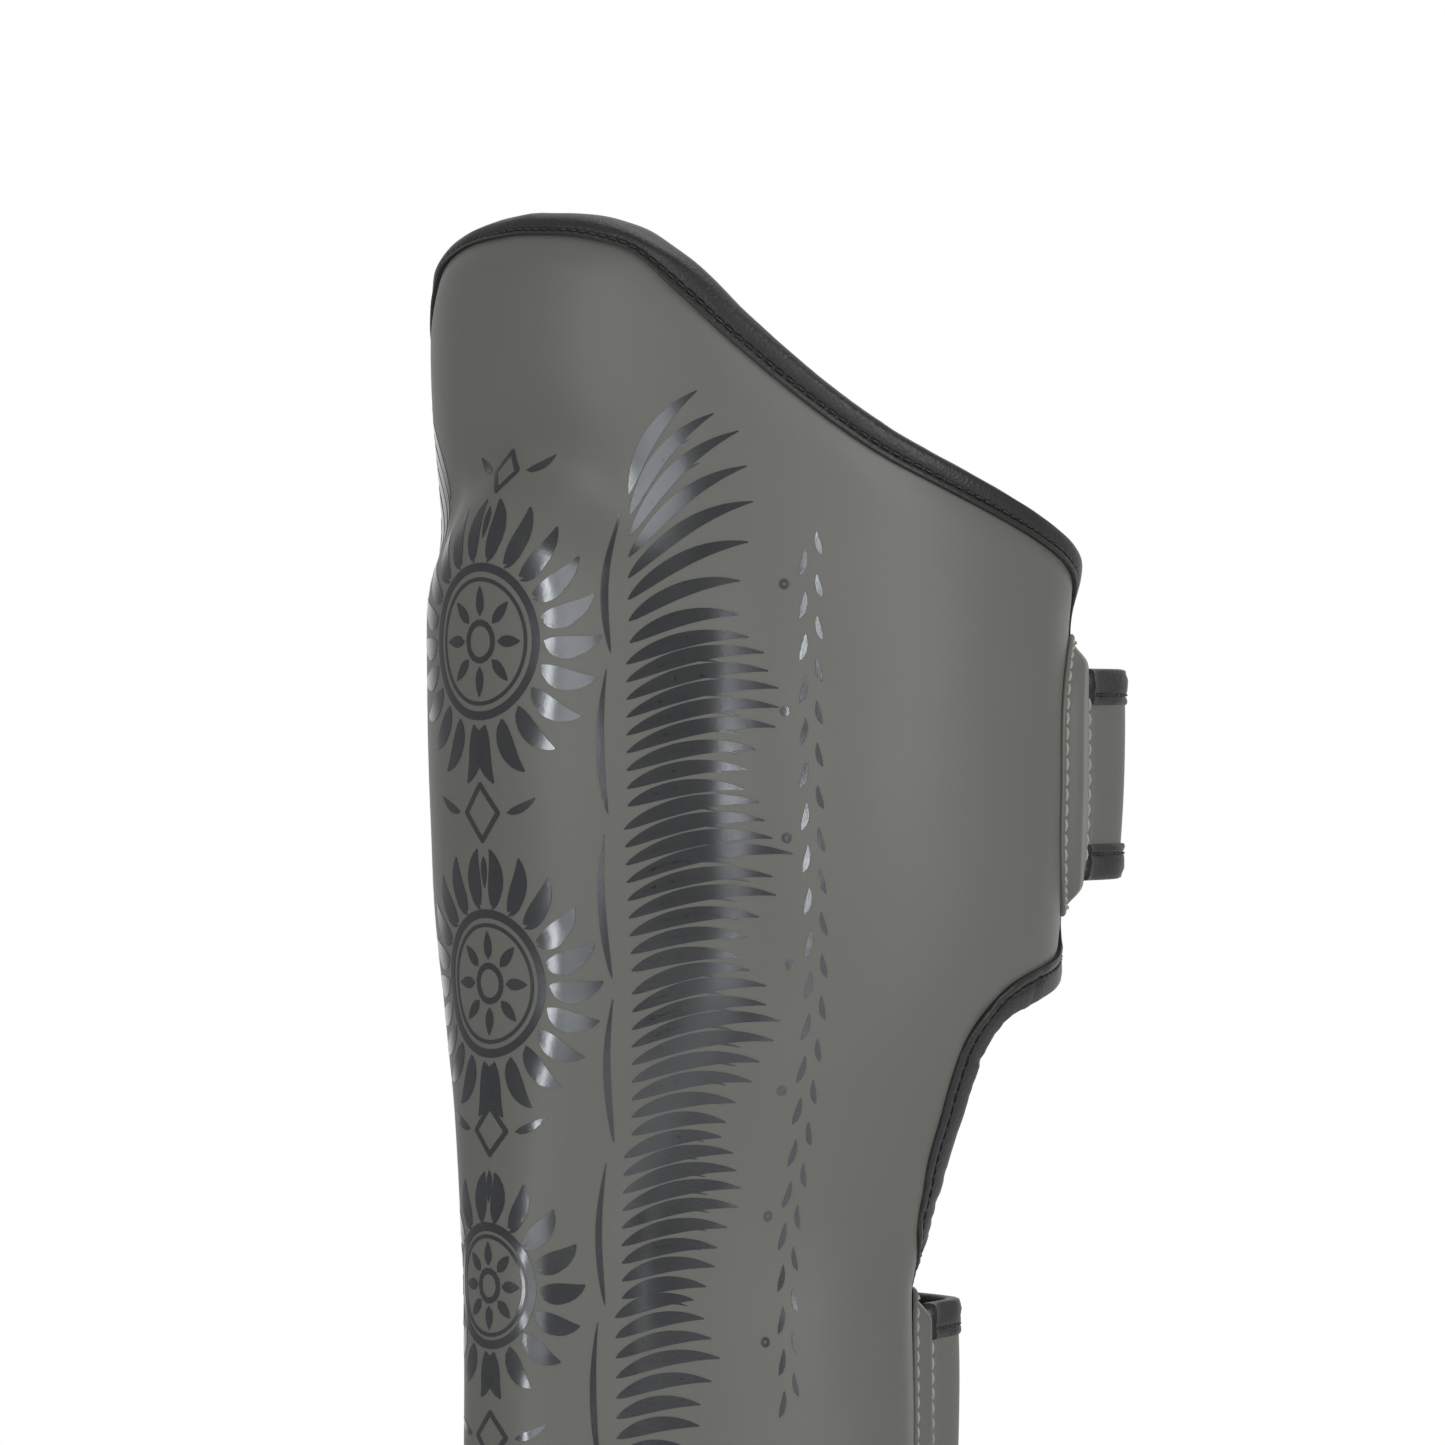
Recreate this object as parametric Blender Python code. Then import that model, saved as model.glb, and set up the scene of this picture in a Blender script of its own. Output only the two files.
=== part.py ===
# A shin and instep guard as it stands on a leg. Metres, +Z up, the front of the shin towards -Y.
# The origin is on the axis of the calf, at the middle of the upper strap.
import math
from collections import namedtuple

import bmesh
import bpy
from mathutils import Vector

# Shin pad
CALF_RADIUS = 0.084            # outer face of the pad at the upper strap
FRONT_HEIGHT = 0.356           # bottom edge to the top of the knee cup
SIDE_HEIGHT = 0.256            # bottom edge to the back upper corners
UPPER_STRAP_HEIGHT = 0.215     # bottom edge to the middle of the upper strap
PAD_THICKNESS = 0.016
EDGE_THICKNESS = 0.009         # the pad's rim, pressed together by its binding
EDGE_ROLL = 0.002              # how far the outer face rolls in at its rim
RIDGE_RISE = 0.0108            # raised shin bar above the wings
RIDGE_END_RAMP = 0.034         # length over which the bar's top end rises
RIDGE_FOOT = 0.35              # share of its rise that the bar keeps at the bottom edge
RIDGE_FOOT_RAMP = 0.040
CUP_RISE = 0.0042              # outward flare of the knee cup
VALLEY_DEPTH = 0.0022          # crease between the knee cup and the shin bar
WING_RISE = 0.0020             # pillow of the side wings

# Leather binding
BINDING_WIDTH = 0.0062
BINDING_THICKNESS = 0.0014
GAP = 0.0003                   # clearance between pieces that touch
SEAT = GAP + BINDING_THICKNESS + GAP

# Straps
STRAP_WIDTH = 0.0530
STRAP_THICKNESS = 0.0024
STRAP_BINDING_WIDTH = 0.0080
STRAP_BINDING_THICKNESS = 0.0010
LOWER_STRAP_HEIGHT = 0.050     # bottom edge to the middle of the lower strap
UPPER_STRAP_BULGE = 0.0170     # how far the strap stands out behind the pad
LOWER_STRAP_BULGE = 0.0140
BULGE_TURN = math.radians(18)  # turn from the pad's back edge to the strap's full bulge
STRAP_TONGUE = 0.38            # length of strap under a patch, as a share of the patch's width
STRAP_OVERLAP = 0.062          # length of strap that lies on the far wing

# Patches over the straps' fixed ends
UPPER_PATCH_HEIGHT = 0.073
LOWER_PATCH_HEIGHT = 0.065
UPPER_PATCH_WIDTH = 0.048
LOWER_PATCH_WIDTH = 0.026
PATCH_THICKNESS = 0.0018
HOLLOW_DEPTH = 0.0054          # how far the pad is pressed in under a patch
HOLLOW_START = math.radians(102)
HOLLOW_RAMP = math.radians(29)
PATCH_MARGIN = 0.023           # length over which the hollow dies out above and below

# Instep pad
INSTEP_LENGTH = 0.150
INSTEP_RADIUS = 0.050          # outer face where it meets the ankle
INSTEP_THICKNESS = 0.012
INSTEP_CROWN = 0.006           # extra padding along the middle of the foot
INSTEP_SLOPE = math.radians(40)
INSTEP_DROP = 0.006            # space between the two pads along the shin's front
INSTEP_EDGE = math.radians(78) # half of the arc that the instep pad covers

# Ankle link and sole strap
LINK_WIDTH = 0.052
LINK_THICKNESS = 0.0020
LINK_OVERLAP = 0.022           # length sewn inside each pad
SOLE_STRAP_WIDTH = 0.038
SOLE_STRAP_THICKNESS = 0.0018
SOLE_STRAP_PLACE = 0.42        # share of the instep pad's length
SOLE_STRAP_OVERLAP = 0.020     # length inside each edge of the instep pad
SOLE_STRAP_SAG = 0.008         # how much lower it runs under the foot
SOLE_SAG_TURN = math.radians(60)

BOTTOM = -UPPER_STRAP_HEIGHT
LOWER_STRAP_Z = BOTTOM + LOWER_STRAP_HEIGHT
RIM_RISE = FRONT_HEIGHT - SIDE_HEIGHT

# Body of the pad: heights as shares of FRONT_HEIGHT, the rest as shares of CALF_RADIUS.
Body = namedtuple("Body", "height radius forward ridge_width")
BODY = [
    Body(0.000, 0.705, 0.253, 0.69),
    Body(0.141, 0.708, 0.243, 0.69),
    Body(0.236, 0.706, 0.250, 0.69),
    Body(0.278, 0.720, 0.239, 0.70),
    Body(0.323, 0.768, 0.186, 0.74),
    Body(0.368, 0.824, 0.128, 0.80),
    Body(0.410, 0.884, 0.068, 0.90),
    Body(0.455, 0.940, 0.011, 0.97),
    Body(0.497, 0.970, -0.008, 1.00),
    Body(0.548, 0.991, -0.014, 1.00),
    Body(0.608, 1.000, -0.012, 1.00),
    Body(1.000, 1.000, 0.000, 1.00),
]

# Back edge of a wing, from its lower corner to its upper corner: heights as shares of
# SIDE_HEIGHT, turns in degrees from the front. The hollow run is the notch.
Edge = namedtuple("Edge", "height turn")
EDGE = [
    Edge(0.000, 140.0), Edge(0.030, 148.5), Edge(0.100, 150.0), Edge(0.170, 150.0),
    Edge(0.240, 150.0), Edge(0.304, 149.5), Edge(0.343, 145.5), Edge(0.368, 131.0),
    Edge(0.392, 120.0), Edge(0.427, 115.0), Edge(0.463, 110.5), Edge(0.502, 107.5),
    Edge(0.538, 104.5), Edge(0.571, 102.5), Edge(0.600, 104.5), Edge(0.616, 113.5),
    Edge(0.627, 126.0), Edge(0.645, 138.5), Edge(0.674, 142.5), Edge(0.720, 143.5),
    Edge(0.775, 144.5), Edge(0.830, 145.0), Edge(0.880, 145.0), Edge(0.925, 144.5),
    Edge(0.957, 143.0), Edge(0.982, 140.5), Edge(1.000, 136.0),
]

# Top rim: turns as shares of the upper corner's turn, rises as shares of RIM_RISE.
Rim = namedtuple("Rim", "turn rise")
RIM = [
    Rim(0.00, 1.000), Rim(0.09, 0.990), Rim(0.18, 0.955), Rim(0.26, 0.870),
    Rim(0.34, 0.725), Rim(0.41, 0.605), Rim(0.47, 0.515), Rim(0.53, 0.440),
    Rim(0.60, 0.375), Rim(0.68, 0.310), Rim(0.77, 0.245), Rim(0.87, 0.175),
    Rim(0.94, 0.110), Rim(1.00, 0.000),
]

# Shin bar: its profile over its half width, and how far its end falls back beside the middle.
Ridge = namedtuple("Ridge", "across rise end_drop")
RIDGE = [
    Ridge(0.00, 1.00, 0.00), Ridge(0.25, 0.93, 0.30), Ridge(0.42, 0.76, 0.54),
    Ridge(0.58, 0.48, 0.72), Ridge(0.73, 0.28, 0.88), Ridge(0.83, 0.18, 0.94),
    Ridge(0.92, 0.06, 0.98), Ridge(1.00, 0.00, 1.00),
]
RIDGE_HALF_TURN = math.radians(48)
RIDGE_TOP = 0.852              # share of FRONT_HEIGHT where the bar ends on the middle line
RIDGE_END_DROP = 0.056         # share of FRONT_HEIGHT that the end falls back at the sides

CUP_HALF_TURN = math.radians(110)

# Knee cup: heights as shares of FRONT_HEIGHT, rises as shares of CUP_RISE.
Cup = namedtuple("Cup", "height rise")
CUP = [
    Cup(0.780, 0.00), Cup(0.837, 0.48), Cup(0.878, 0.82), Cup(0.922, 1.00),
    Cup(0.966, 0.76), Cup(1.000, -0.80),
]

# Instep pad: shares of its length, of INSTEP_RADIUS and of INSTEP_EDGE.
Instep = namedtuple("Instep", "along radius edge")
INSTEP = [
    Instep(0.00, 1.00, 0.62), Instep(0.12, 1.00, 0.86), Instep(0.35, 0.98, 1.00),
    Instep(0.60, 0.98, 0.98), Instep(0.82, 0.99, 0.88), Instep(0.95, 1.00, 0.66),
    Instep(1.00, 1.00, 0.40),
]

SPREAD = 25                    # columns across the pad, an odd number
CLIMB_START = 0.64             # share of the back edge where the rows leave the level
MITRE_LIMIT = 0.6              # least cosine of half the turn at an outline's corner
SHARP_TURN = math.radians(50)  # edges that turn more than this stay sharp

STRAP_STEPS = 18               # stations of a strap round the back
STRAP_END_STEPS = 6            # stations of a strap on the far wing
TONGUE_BEND = 0.4              # share of a tongue between its middle station and the edge
SINK_START = 1.7               # binding widths inboard where a strap comes down to the wing
PATCH_ROWS = 12
PATCH_COLUMNS = 8
PATCH_CORNER = 5               # higher is squarer
PATCH_END = 0.97               # share of the corner's curve that a patch's ends reach
PATCH_RISE = 0.40              # share of a patch's width over which it rises
SOLE_STEPS = 26
LINK_COLUMNS = 8


def read(table, column, at):
    """A table's named column at a place along its first column, as a smooth monotone curve."""
    places = [row[0] for row in table]
    values = [getattr(row, column) for row in table]
    if at <= places[0]:
        return values[0]
    if at >= places[-1]:
        return values[-1]
    k = max(i for i, place in enumerate(places) if place <= at)
    steps = [(b - a) / (q - p) for a, b, p, q in zip(values, values[1:], places, places[1:])]
    before, here, after = steps[max(k - 1, 0)], steps[k], steps[min(k + 1, len(steps) - 1)]
    start = 0.0 if before * here <= 0 else 2 * before * here / (before + here)
    end = 0.0 if here * after <= 0 else 2 * here * after / (here + after)
    run = places[k + 1] - places[k]
    t = (at - places[k]) / run
    return (values[k] * (1 + 2 * t) * (1 - t) ** 2 + values[k + 1] * t * t * (3 - 2 * t)
            + run * t * (1 - t) * (start * (1 - t) - end * t))


def smooth(t):
    """0 to 1 with level ends."""
    t = min(max(t, 0.0), 1.0)
    return t * t * (3 - 2 * t)


def height_share(z):
    return (z - BOTTOM) / FRONT_HEIGHT


def body_radius(z):
    return CALF_RADIUS * read(BODY, "radius", height_share(z))


def body_centre(z):
    return -CALF_RADIUS * read(BODY, "forward", height_share(z))


def ridge_rise(turn, z):
    """Height of the shin bar above the wings."""
    share = height_share(z)
    across = abs(turn) / (RIDGE_HALF_TURN * read(BODY, "ridge_width", share))
    end = FRONT_HEIGHT * (RIDGE_TOP - RIDGE_END_DROP * read(RIDGE, "end_drop", across))
    along = smooth((end + BOTTOM - z) / RIDGE_END_RAMP)
    foot = RIDGE_FOOT + (1 - RIDGE_FOOT) * smooth((z - BOTTOM) / RIDGE_FOOT_RAMP)
    return RIDGE_RISE * read(RIDGE, "rise", across) * along * foot


def valley_depth(turn, z):
    """Crease just above the bar's end."""
    across = abs(turn) / RIDGE_HALF_TURN
    end = BOTTOM + FRONT_HEIGHT * (RIDGE_TOP - RIDGE_END_DROP * read(RIDGE, "end_drop", across))
    return VALLEY_DEPTH * math.exp(-((z - end) * 3 / RIDGE_END_RAMP) ** 2) * (1 - smooth(across))


def wing_rise(turn):
    back = math.radians(EDGE[-1].turn)
    across = (abs(turn) - RIDGE_HALF_TURN) / (back - RIDGE_HALF_TURN)
    return WING_RISE * math.sin(math.pi * min(max(across, 0.0), 1.0))


def cup_rise(turn, z):
    return CUP_RISE * read(CUP, "rise", height_share(z)) * (1 - smooth(abs(turn) / CUP_HALF_TURN))


def patch_hollow(turn, z):
    """How far the pad is pressed in under the straps' sewn ends."""
    back = smooth((abs(turn) - HOLLOW_START) / HOLLOW_RAMP)
    depth = 0.0
    for middle, height in ((0.0, UPPER_PATCH_HEIGHT), (LOWER_STRAP_Z, LOWER_PATCH_HEIGHT)):
        reach = abs(z - middle) - height / 2
        depth = max(depth, 1 - smooth(reach / PATCH_MARGIN))
    return HOLLOW_DEPTH * back * depth


def base_radius(turn, z):
    """Outer face of the pad without its shin bar."""
    body = body_radius(z) - valley_depth(turn, z) - patch_hollow(turn, z)
    return body + wing_rise(turn) + cup_rise(turn, z)


def outer_radius(turn, z):
    return base_radius(turn, z) + ridge_rise(turn, z)


def inner_radius(turn, z):
    return body_radius(z) - PAD_THICKNESS


def around(radius, turn, z):
    """A point of the guard from its radius, its turn from the front and its height."""
    return Vector((radius * math.sin(turn), body_centre(z) - radius * math.cos(turn), z))


def edge_turn(z):
    """Turn of the pad's back edge at a height."""
    return math.radians(read(EDGE, "turn", (z - BOTTOM) / SIDE_HEIGHT))


def link_grid(bm, rows, closed=False):
    """Quads between rows of vertices."""
    faces = []
    for low, high in zip(rows, rows[1:]):
        pairs = list(zip(low, low[1:], high[1:], high))
        if closed:
            pairs.append((low[-1], low[0], high[0], high[-1]))
        faces += [bm.faces.new(quad) for quad in pairs]
    return faces


def principled(name, colour, roughness, metallic=0.0):
    material = bpy.data.materials.get(name) or bpy.data.materials.new(name)
    material.use_nodes = True
    shader = material.node_tree.nodes["Principled BSDF"]
    shader.inputs["Base Color"].default_value = (*colour, 1.0)
    shader.inputs["Roughness"].default_value = roughness
    shader.inputs["Metallic"].default_value = metallic
    material.diffuse_color = (*colour, 1.0)
    return material


def grey_leather(name):
    return principled(name + "_leather", (0.150, 0.152, 0.140), 0.55)


def black_leather(name):
    return principled(name + "_leather", (0.018, 0.018, 0.018), 0.45)


def dark_elastic(name):
    return principled(name + "_elastic", (0.022, 0.022, 0.024), 0.80)


def finish(bm, name, *materials):
    """Triangulate, point the faces out and make the object."""
    bmesh.ops.remove_doubles(bm, verts=bm.verts, dist=1e-6)
    bmesh.ops.triangulate(bm, faces=bm.faces, quad_method="SHORT_EDGE")
    bmesh.ops.recalc_face_normals(bm, faces=bm.faces)
    mesh = bpy.data.meshes.new(name)
    bm.to_mesh(mesh)
    bm.free()
    for material in materials:
        mesh.materials.append(material)
    mesh.shade_smooth()
    mesh.set_sharp_from_angle(angle=SHARP_TURN)
    piece = bpy.data.objects.new(name, mesh)
    bpy.context.collection.objects.link(piece)
    return piece


def shell(bm, outer, inner, bound=None, bound_ends=False):
    """A closed body between two grids of points. bound(row, column) tags the quads to bind, with
    the rim beside them; bound_ends does so at the ends of the rows too."""
    tag = bm.faces.layers.int.new("bound")
    out = [[bm.verts.new(point) for point in row] for row in outer]
    into = [[bm.verts.new(point) for point in row] for row in inner]
    columns = len(out[0]) - 1
    for rows in (out, into):
        for k, face in enumerate(link_grid(bm, rows)):
            face[tag] = bool(bound and bound(k // columns, k % columns))
    for row in (0, -1):
        near = 0 if row == 0 else len(out) - 2
        for k, face in enumerate(link_grid(bm, [out[row], into[row]])):
            face[tag] = bool(bound and bound(near, k))
    for side in (0, -1):
        for face in link_grid(bm, [[row[side] for row in out], [row[side] for row in into]]):
            face[tag] = bound_ends


def binding(source, name, thickness, keep=None):
    """A leather binding folded over the tagged rim of a pad or a strap, where keep(centre) holds."""
    bm = bmesh.new()
    bm.from_mesh(source.data)
    tag = bm.faces.layers.int["bound"]
    loose = [face for face in bm.faces
             if not face[tag] or (keep and not keep(face.calc_center_median()))]
    bmesh.ops.delete(bm, geom=loose, context="FACES")
    bm.normal_update()
    shifts = [(vert, vert.normal * (GAP * vert.calc_shell_factor())) for vert in bm.verts]
    for vert, shift in shifts:
        vert.co += shift
    for face in bm.faces:
        face.material_index = 0
    mesh = bpy.data.meshes.new(name)
    bm.to_mesh(mesh)
    bm.free()
    mesh.materials.append(black_leather(name))
    mesh.shade_smooth()
    mesh.set_sharp_from_angle(angle=SHARP_TURN)
    piece = bpy.data.objects.new(name, mesh)
    bpy.context.collection.objects.link(piece)
    fold = piece.modifiers.new("Leather", "SOLIDIFY")
    fold.thickness = thickness
    fold.offset = 1.0
    fold.use_even_offset = True
    return piece


def pad_outline():
    """Right half of the pad's outline as (arc, height) pairs, from the bottom front to the top
    front, with the number of points on its bottom edge and on its back edge."""
    half = (SPREAD - 1) // 2
    lower = math.radians(EDGE[0].turn)
    upper = math.radians(EDGE[-1].turn)
    bottom = [(lower * k / half, BOTTOM) for k in range(half)]
    back = [(math.radians(row.turn), BOTTOM + SIDE_HEIGHT * row.height) for row in EDGE]
    top = []
    for k in reversed(range(half)):
        share = k / half
        rise = RIM_RISE * read(RIM, "rise", share)
        top.append((upper * share, BOTTOM + SIDE_HEIGHT + rise))
    return bottom, back, top


def inward(outline, width):
    """Points one binding width inside an open half outline that mirrors at its two ends."""
    flat = [Vector((turn * body_radius(z), z)) for turn, z in outline]
    inside = []
    for k, point in enumerate(flat):
        before = flat[k - 1] if k else Vector((-flat[1].x, flat[1].y))
        after = flat[k + 1] if k + 1 < len(flat) else Vector((-flat[k - 1].x, flat[k - 1].y))
        first, second = (point - before).normalized(), (after - point).normalized()
        along = (first + second).normalized()
        across = Vector((-along.y, along.x))
        spread = max(across.dot(Vector((-first.y, first.x))), MITRE_LIMIT)
        moved = point + across * (width / spread)
        inside.append((moved.x / body_radius(moved.y), moved.y))
    return inside


def coons(bottom, back, top):
    """Rows of (turn, height) over the right half, from its three inner border lines. The rows
    lie level up to the notch and then climb to follow the top rim."""
    half = len(bottom) - 1
    rows = []
    notch = back[0][1] + (back[-1][1] - back[0][1]) * CLIMB_START
    for turn, z in back:
        climb = max((z - notch) / (back[-1][1] - notch), 0.0)
        row = []
        for k in range(half):
            share = k / half
            low, high = bottom[k], top[k]
            line_turn = (1 - climb) * low[0] + climb * high[0]
            line_z = (1 - climb) * low[1] + climb * high[1]
            corner_turn = (1 - climb) * bottom[-1][0] + climb * top[-1][0]
            corner_z = (1 - climb) * bottom[-1][1] + climb * top[-1][1]
            row.append((line_turn + (turn - corner_turn) * share, line_z + (z - corner_z)))
        rows.append(row + [(turn, z)])
    rows[0] = list(bottom)
    rows[-1] = list(top)
    return rows


def mirror_row(half_row):
    """A full row from the far side to the near side."""
    return [(-turn, z) for turn, z in reversed(half_row[1:])] + list(half_row)


def make_shin_pad():
    bottom, back, top = pad_outline()
    outline = bottom + back + top
    inside = inward(outline, BINDING_WIDTH)
    first, last = len(bottom), len(bottom) + len(back) - 1
    rows = coons(inside[:first + 1], inside[first:last + 1], inside[:last - 1:-1])
    grid = [mirror_row(row) for row in rows]
    bm = bmesh.new()
    tag = bm.faces.layers.int.new("bound")

    def lay(points, radius):
        return [bm.verts.new(around(radius(turn, z), turn, z)) for turn, z in points]

    outer = [lay(row, outer_radius) for row in grid]
    inner = [lay(row, inner_radius) for row in grid]
    rim = outline + [(-turn, z) for turn, z in reversed(outline[1:-1])]
    outer_rim = lay(rim, lambda turn, z: outer_radius(turn, z) - EDGE_ROLL)
    inner_rim = lay(rim, lambda turn, z: base_radius(turn, z) - EDGE_ROLL - EDGE_THICKNESS)
    for face in link_grid(bm, outer):
        face[tag] = 0
    for face in link_grid(bm, inner):
        face[tag] = 0
        face.material_index = 1

    def border(rows_of_verts):
        middle = len(rows_of_verts[0]) // 2
        right = [row[-1] for row in rows_of_verts]
        left = [row[0] for row in rows_of_verts]
        return (rows_of_verts[0][middle:-1] + right + rows_of_verts[-1][middle:-1][::-1]
                + rows_of_verts[-1][1:middle][::-1] + left[::-1] + rows_of_verts[0][1:middle])

    rings = [border(outer), outer_rim, inner_rim, border(inner)]
    for face in link_grid(bm, rings, closed=True):
        face[tag] = 1
    return finish(bm, "shin_pad", grey_leather("shin_pad"),
                  principled("shin_pad_lining", (0.03, 0.03, 0.032), 0.85))


def strap_turns(middle, patch_width):
    """Turns along a strap: from its tongue under the patch, round the back, onto the far wing."""
    edge = edge_turn(middle)
    radius = body_radius(middle)
    tongue = STRAP_TONGUE * patch_width / radius
    end = 2 * math.pi - edge + STRAP_OVERLAP / radius
    turns = [edge - tongue, edge - TONGUE_BEND * tongue, edge]
    clear = edge + 4 * GAP / radius
    back = 2 * math.pi - 2 * clear
    turns += [clear + back * k / STRAP_STEPS for k in range(STRAP_STEPS + 1)]
    turns += [end - (STRAP_OVERLAP / radius) * (1 - k / STRAP_END_STEPS)
              for k in range(1, STRAP_END_STEPS + 1)]
    return turns


def strap_offset(turn, edge, radius, bulge):
    """Height of a strap's inner face above the wings, and behind the gap between them."""
    away = min(turn, 2 * math.pi - turn) - edge
    lift = 2 * GAP + STRAP_BINDING_THICKNESS if turn > edge else 0.0
    if away > 0:
        return SEAT + lift + bulge * smooth(away / BULGE_TURN)
    return SEAT + lift - BINDING_THICKNESS * smooth(-away * radius / BINDING_WIDTH - SINK_START)


def strap_ring(turn, z, middle, bulge, rise):
    """A point of a strap at a turn and a height, rise above its inner face."""
    edge = edge_turn(middle)
    short = min(turn, 2 * math.pi - turn, edge)
    reach = outer_radius(short, z) + strap_offset(turn, edge, body_radius(middle), bulge) + rise
    return Vector((reach * math.sin(turn), body_centre(middle) - reach * math.cos(turn), z))


def make_strap(name, middle, patch_width, bulge):
    turns = strap_turns(middle, patch_width)
    half = STRAP_WIDTH / 2
    flat = half - STRAP_BINDING_WIDTH
    levels = [-half, -flat, -flat / 2, 0.0, flat / 2, flat, half]
    sheets = []
    for rise in (STRAP_THICKNESS, 0.0):
        sheets.append([[strap_ring(turn, middle + level, middle, bulge, rise) for turn in turns]
                       for level in levels])
    bm = bmesh.new()
    free = 3                   # quads from the tongue's end to the patch's edge
    shell(bm, *sheets, bound=lambda row, column: row in (0, 5) and column >= free)
    return finish(bm, name, grey_leather(name))


def strap_bindings(strap, name, middle):
    """The two bound edges of a strap, above and below its middle."""
    binding(strap, name + "_top_binding", STRAP_BINDING_THICKNESS, lambda centre: centre.z > middle)
    binding(strap, name + "_bottom_binding", STRAP_BINDING_THICKNESS, lambda centre: centre.z < middle)


def make_patch(name, middle, width, height):
    """A patch with a straight back edge and a rounded front, raised over the strap's tongue."""
    edge = edge_turn(middle)
    radius = body_radius(middle)
    pocket = SEAT + STRAP_THICKNESS
    outer, inner = [], []
    for i in range(PATCH_ROWS + 1):
        level = -1 + 2 * i / PATCH_ROWS
        z = middle + height / 2 * level
        reach = width * (1 - (PATCH_END * abs(level)) ** PATCH_CORNER) ** (1 / PATCH_CORNER)
        upper, lower = [], []
        for j in range(PATCH_COLUMNS + 1):
            from_front = reach * j / PATCH_COLUMNS
            turn = edge - (reach - from_front) / radius
            low = outer_radius(turn, z) + 2 * GAP + pocket * smooth(from_front / (PATCH_RISE * width))
            for points, reach_out in ((lower, low), (upper, low + PATCH_THICKNESS)):
                centre = body_centre(middle)
                points.append(Vector((reach_out * math.sin(turn), centre - reach_out * math.cos(turn), z)))
        outer.append(upper)
        inner.append(lower)
    bm = bmesh.new()
    shell(bm, outer, inner)
    return finish(bm, name, grey_leather(name))


def foot_axis(along):
    """Point on the foot's middle line, as a share of the instep pad's length."""
    lean = Vector((0, -math.cos(INSTEP_SLOPE), -math.sin(INSTEP_SLOPE)))
    front = body_centre(BOTTOM) - body_radius(BOTTOM) - 0.5 * RIDGE_RISE
    start = Vector((0, front, BOTTOM - INSTEP_DROP)) - foot_up() * INSTEP_RADIUS
    return start + lean * (INSTEP_LENGTH * along)


def foot_up():
    return Vector((0, -math.sin(INSTEP_SLOPE), math.cos(INSTEP_SLOPE)))


def foot_point(radius, turn, along):
    """A point around the foot's middle line; turn 0 is the top of the foot."""
    return foot_axis(along) + foot_up() * (radius * math.cos(turn)) + Vector((radius * math.sin(turn), 0, 0))


def instep_radius(along):
    return INSTEP_RADIUS * read(INSTEP, "radius", along)


def make_instep_pad():
    lip = BINDING_WIDTH / INSTEP_LENGTH
    places = [0.0, lip] + [lip + (1 - 2 * lip) * k / 8 for k in range(1, 8)] + [1 - lip, 1.0]
    columns = 13
    outer, inner = [], []
    for along in places:
        radius = instep_radius(along)
        limit = INSTEP_EDGE * read(INSTEP, "edge", along)
        inside = limit - BINDING_WIDTH / radius
        turns = [-limit] + [inside * (-1 + 2 * k / (columns - 1)) for k in range(columns)] + [limit]
        top, low = [], []
        for turn in turns:
            rim = abs(turn) == limit or along in (0.0, 1.0)
            crown = INSTEP_CROWN * math.sin(math.pi * along) * math.cos(turn)
            face = radius + crown - (EDGE_ROLL if rim else 0.0)
            top.append(foot_point(face, turn, along))
            low.append(foot_point(face - EDGE_THICKNESS if rim else radius - INSTEP_THICKNESS, turn, along))
        outer.append(top)
        inner.append(low)
    bm = bmesh.new()
    ends, sides = (0, len(places) - 2), (0, columns)
    shell(bm, outer, inner, bound=lambda row, column: row in ends or column in sides, bound_ends=True)
    return finish(bm, "instep_pad", grey_leather("instep_pad"))


def make_ankle_link():
    """A strip of leather from the inside of the shin pad's foot to the inside of the instep pad."""
    shin_reach = body_radius(BOTTOM) - PAD_THICKNESS - SEAT
    foot_reach = instep_radius(0.0) - INSTEP_THICKNESS - SEAT
    outer, inner = [], []
    for rise, rows in ((0.0, outer), (-LINK_THICKNESS, inner)):
        shin, foot = shin_reach + rise, foot_reach + rise
        shares = [-1 + 2 * k / LINK_COLUMNS for k in range(LINK_COLUMNS + 1)]
        half = LINK_WIDTH / 2
        for z in (BOTTOM + LINK_OVERLAP, BOTTOM + LINK_OVERLAP / 2, BOTTOM):
            rows.append([around(shin, share * half / shin_reach, z) for share in shares])
        over = [foot_point(foot, share * half / foot_reach, 0.0) for share in shares]
        under = rows[-1]
        drop = Vector((0, 0, -INSTEP_DROP))
        rows.append([a.lerp(b, 0.5) + drop / 4 for a, b in zip(under, over)])
        rows.append(over)
        for along in (0.5 * LINK_OVERLAP / INSTEP_LENGTH, LINK_OVERLAP / INSTEP_LENGTH):
            rows.append([foot_point(foot, share * half / foot_reach, along) for share in shares])
    bm = bmesh.new()
    shell(bm, outer, inner)
    return finish(bm, "ankle_link", black_leather("ankle_link"))


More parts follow.
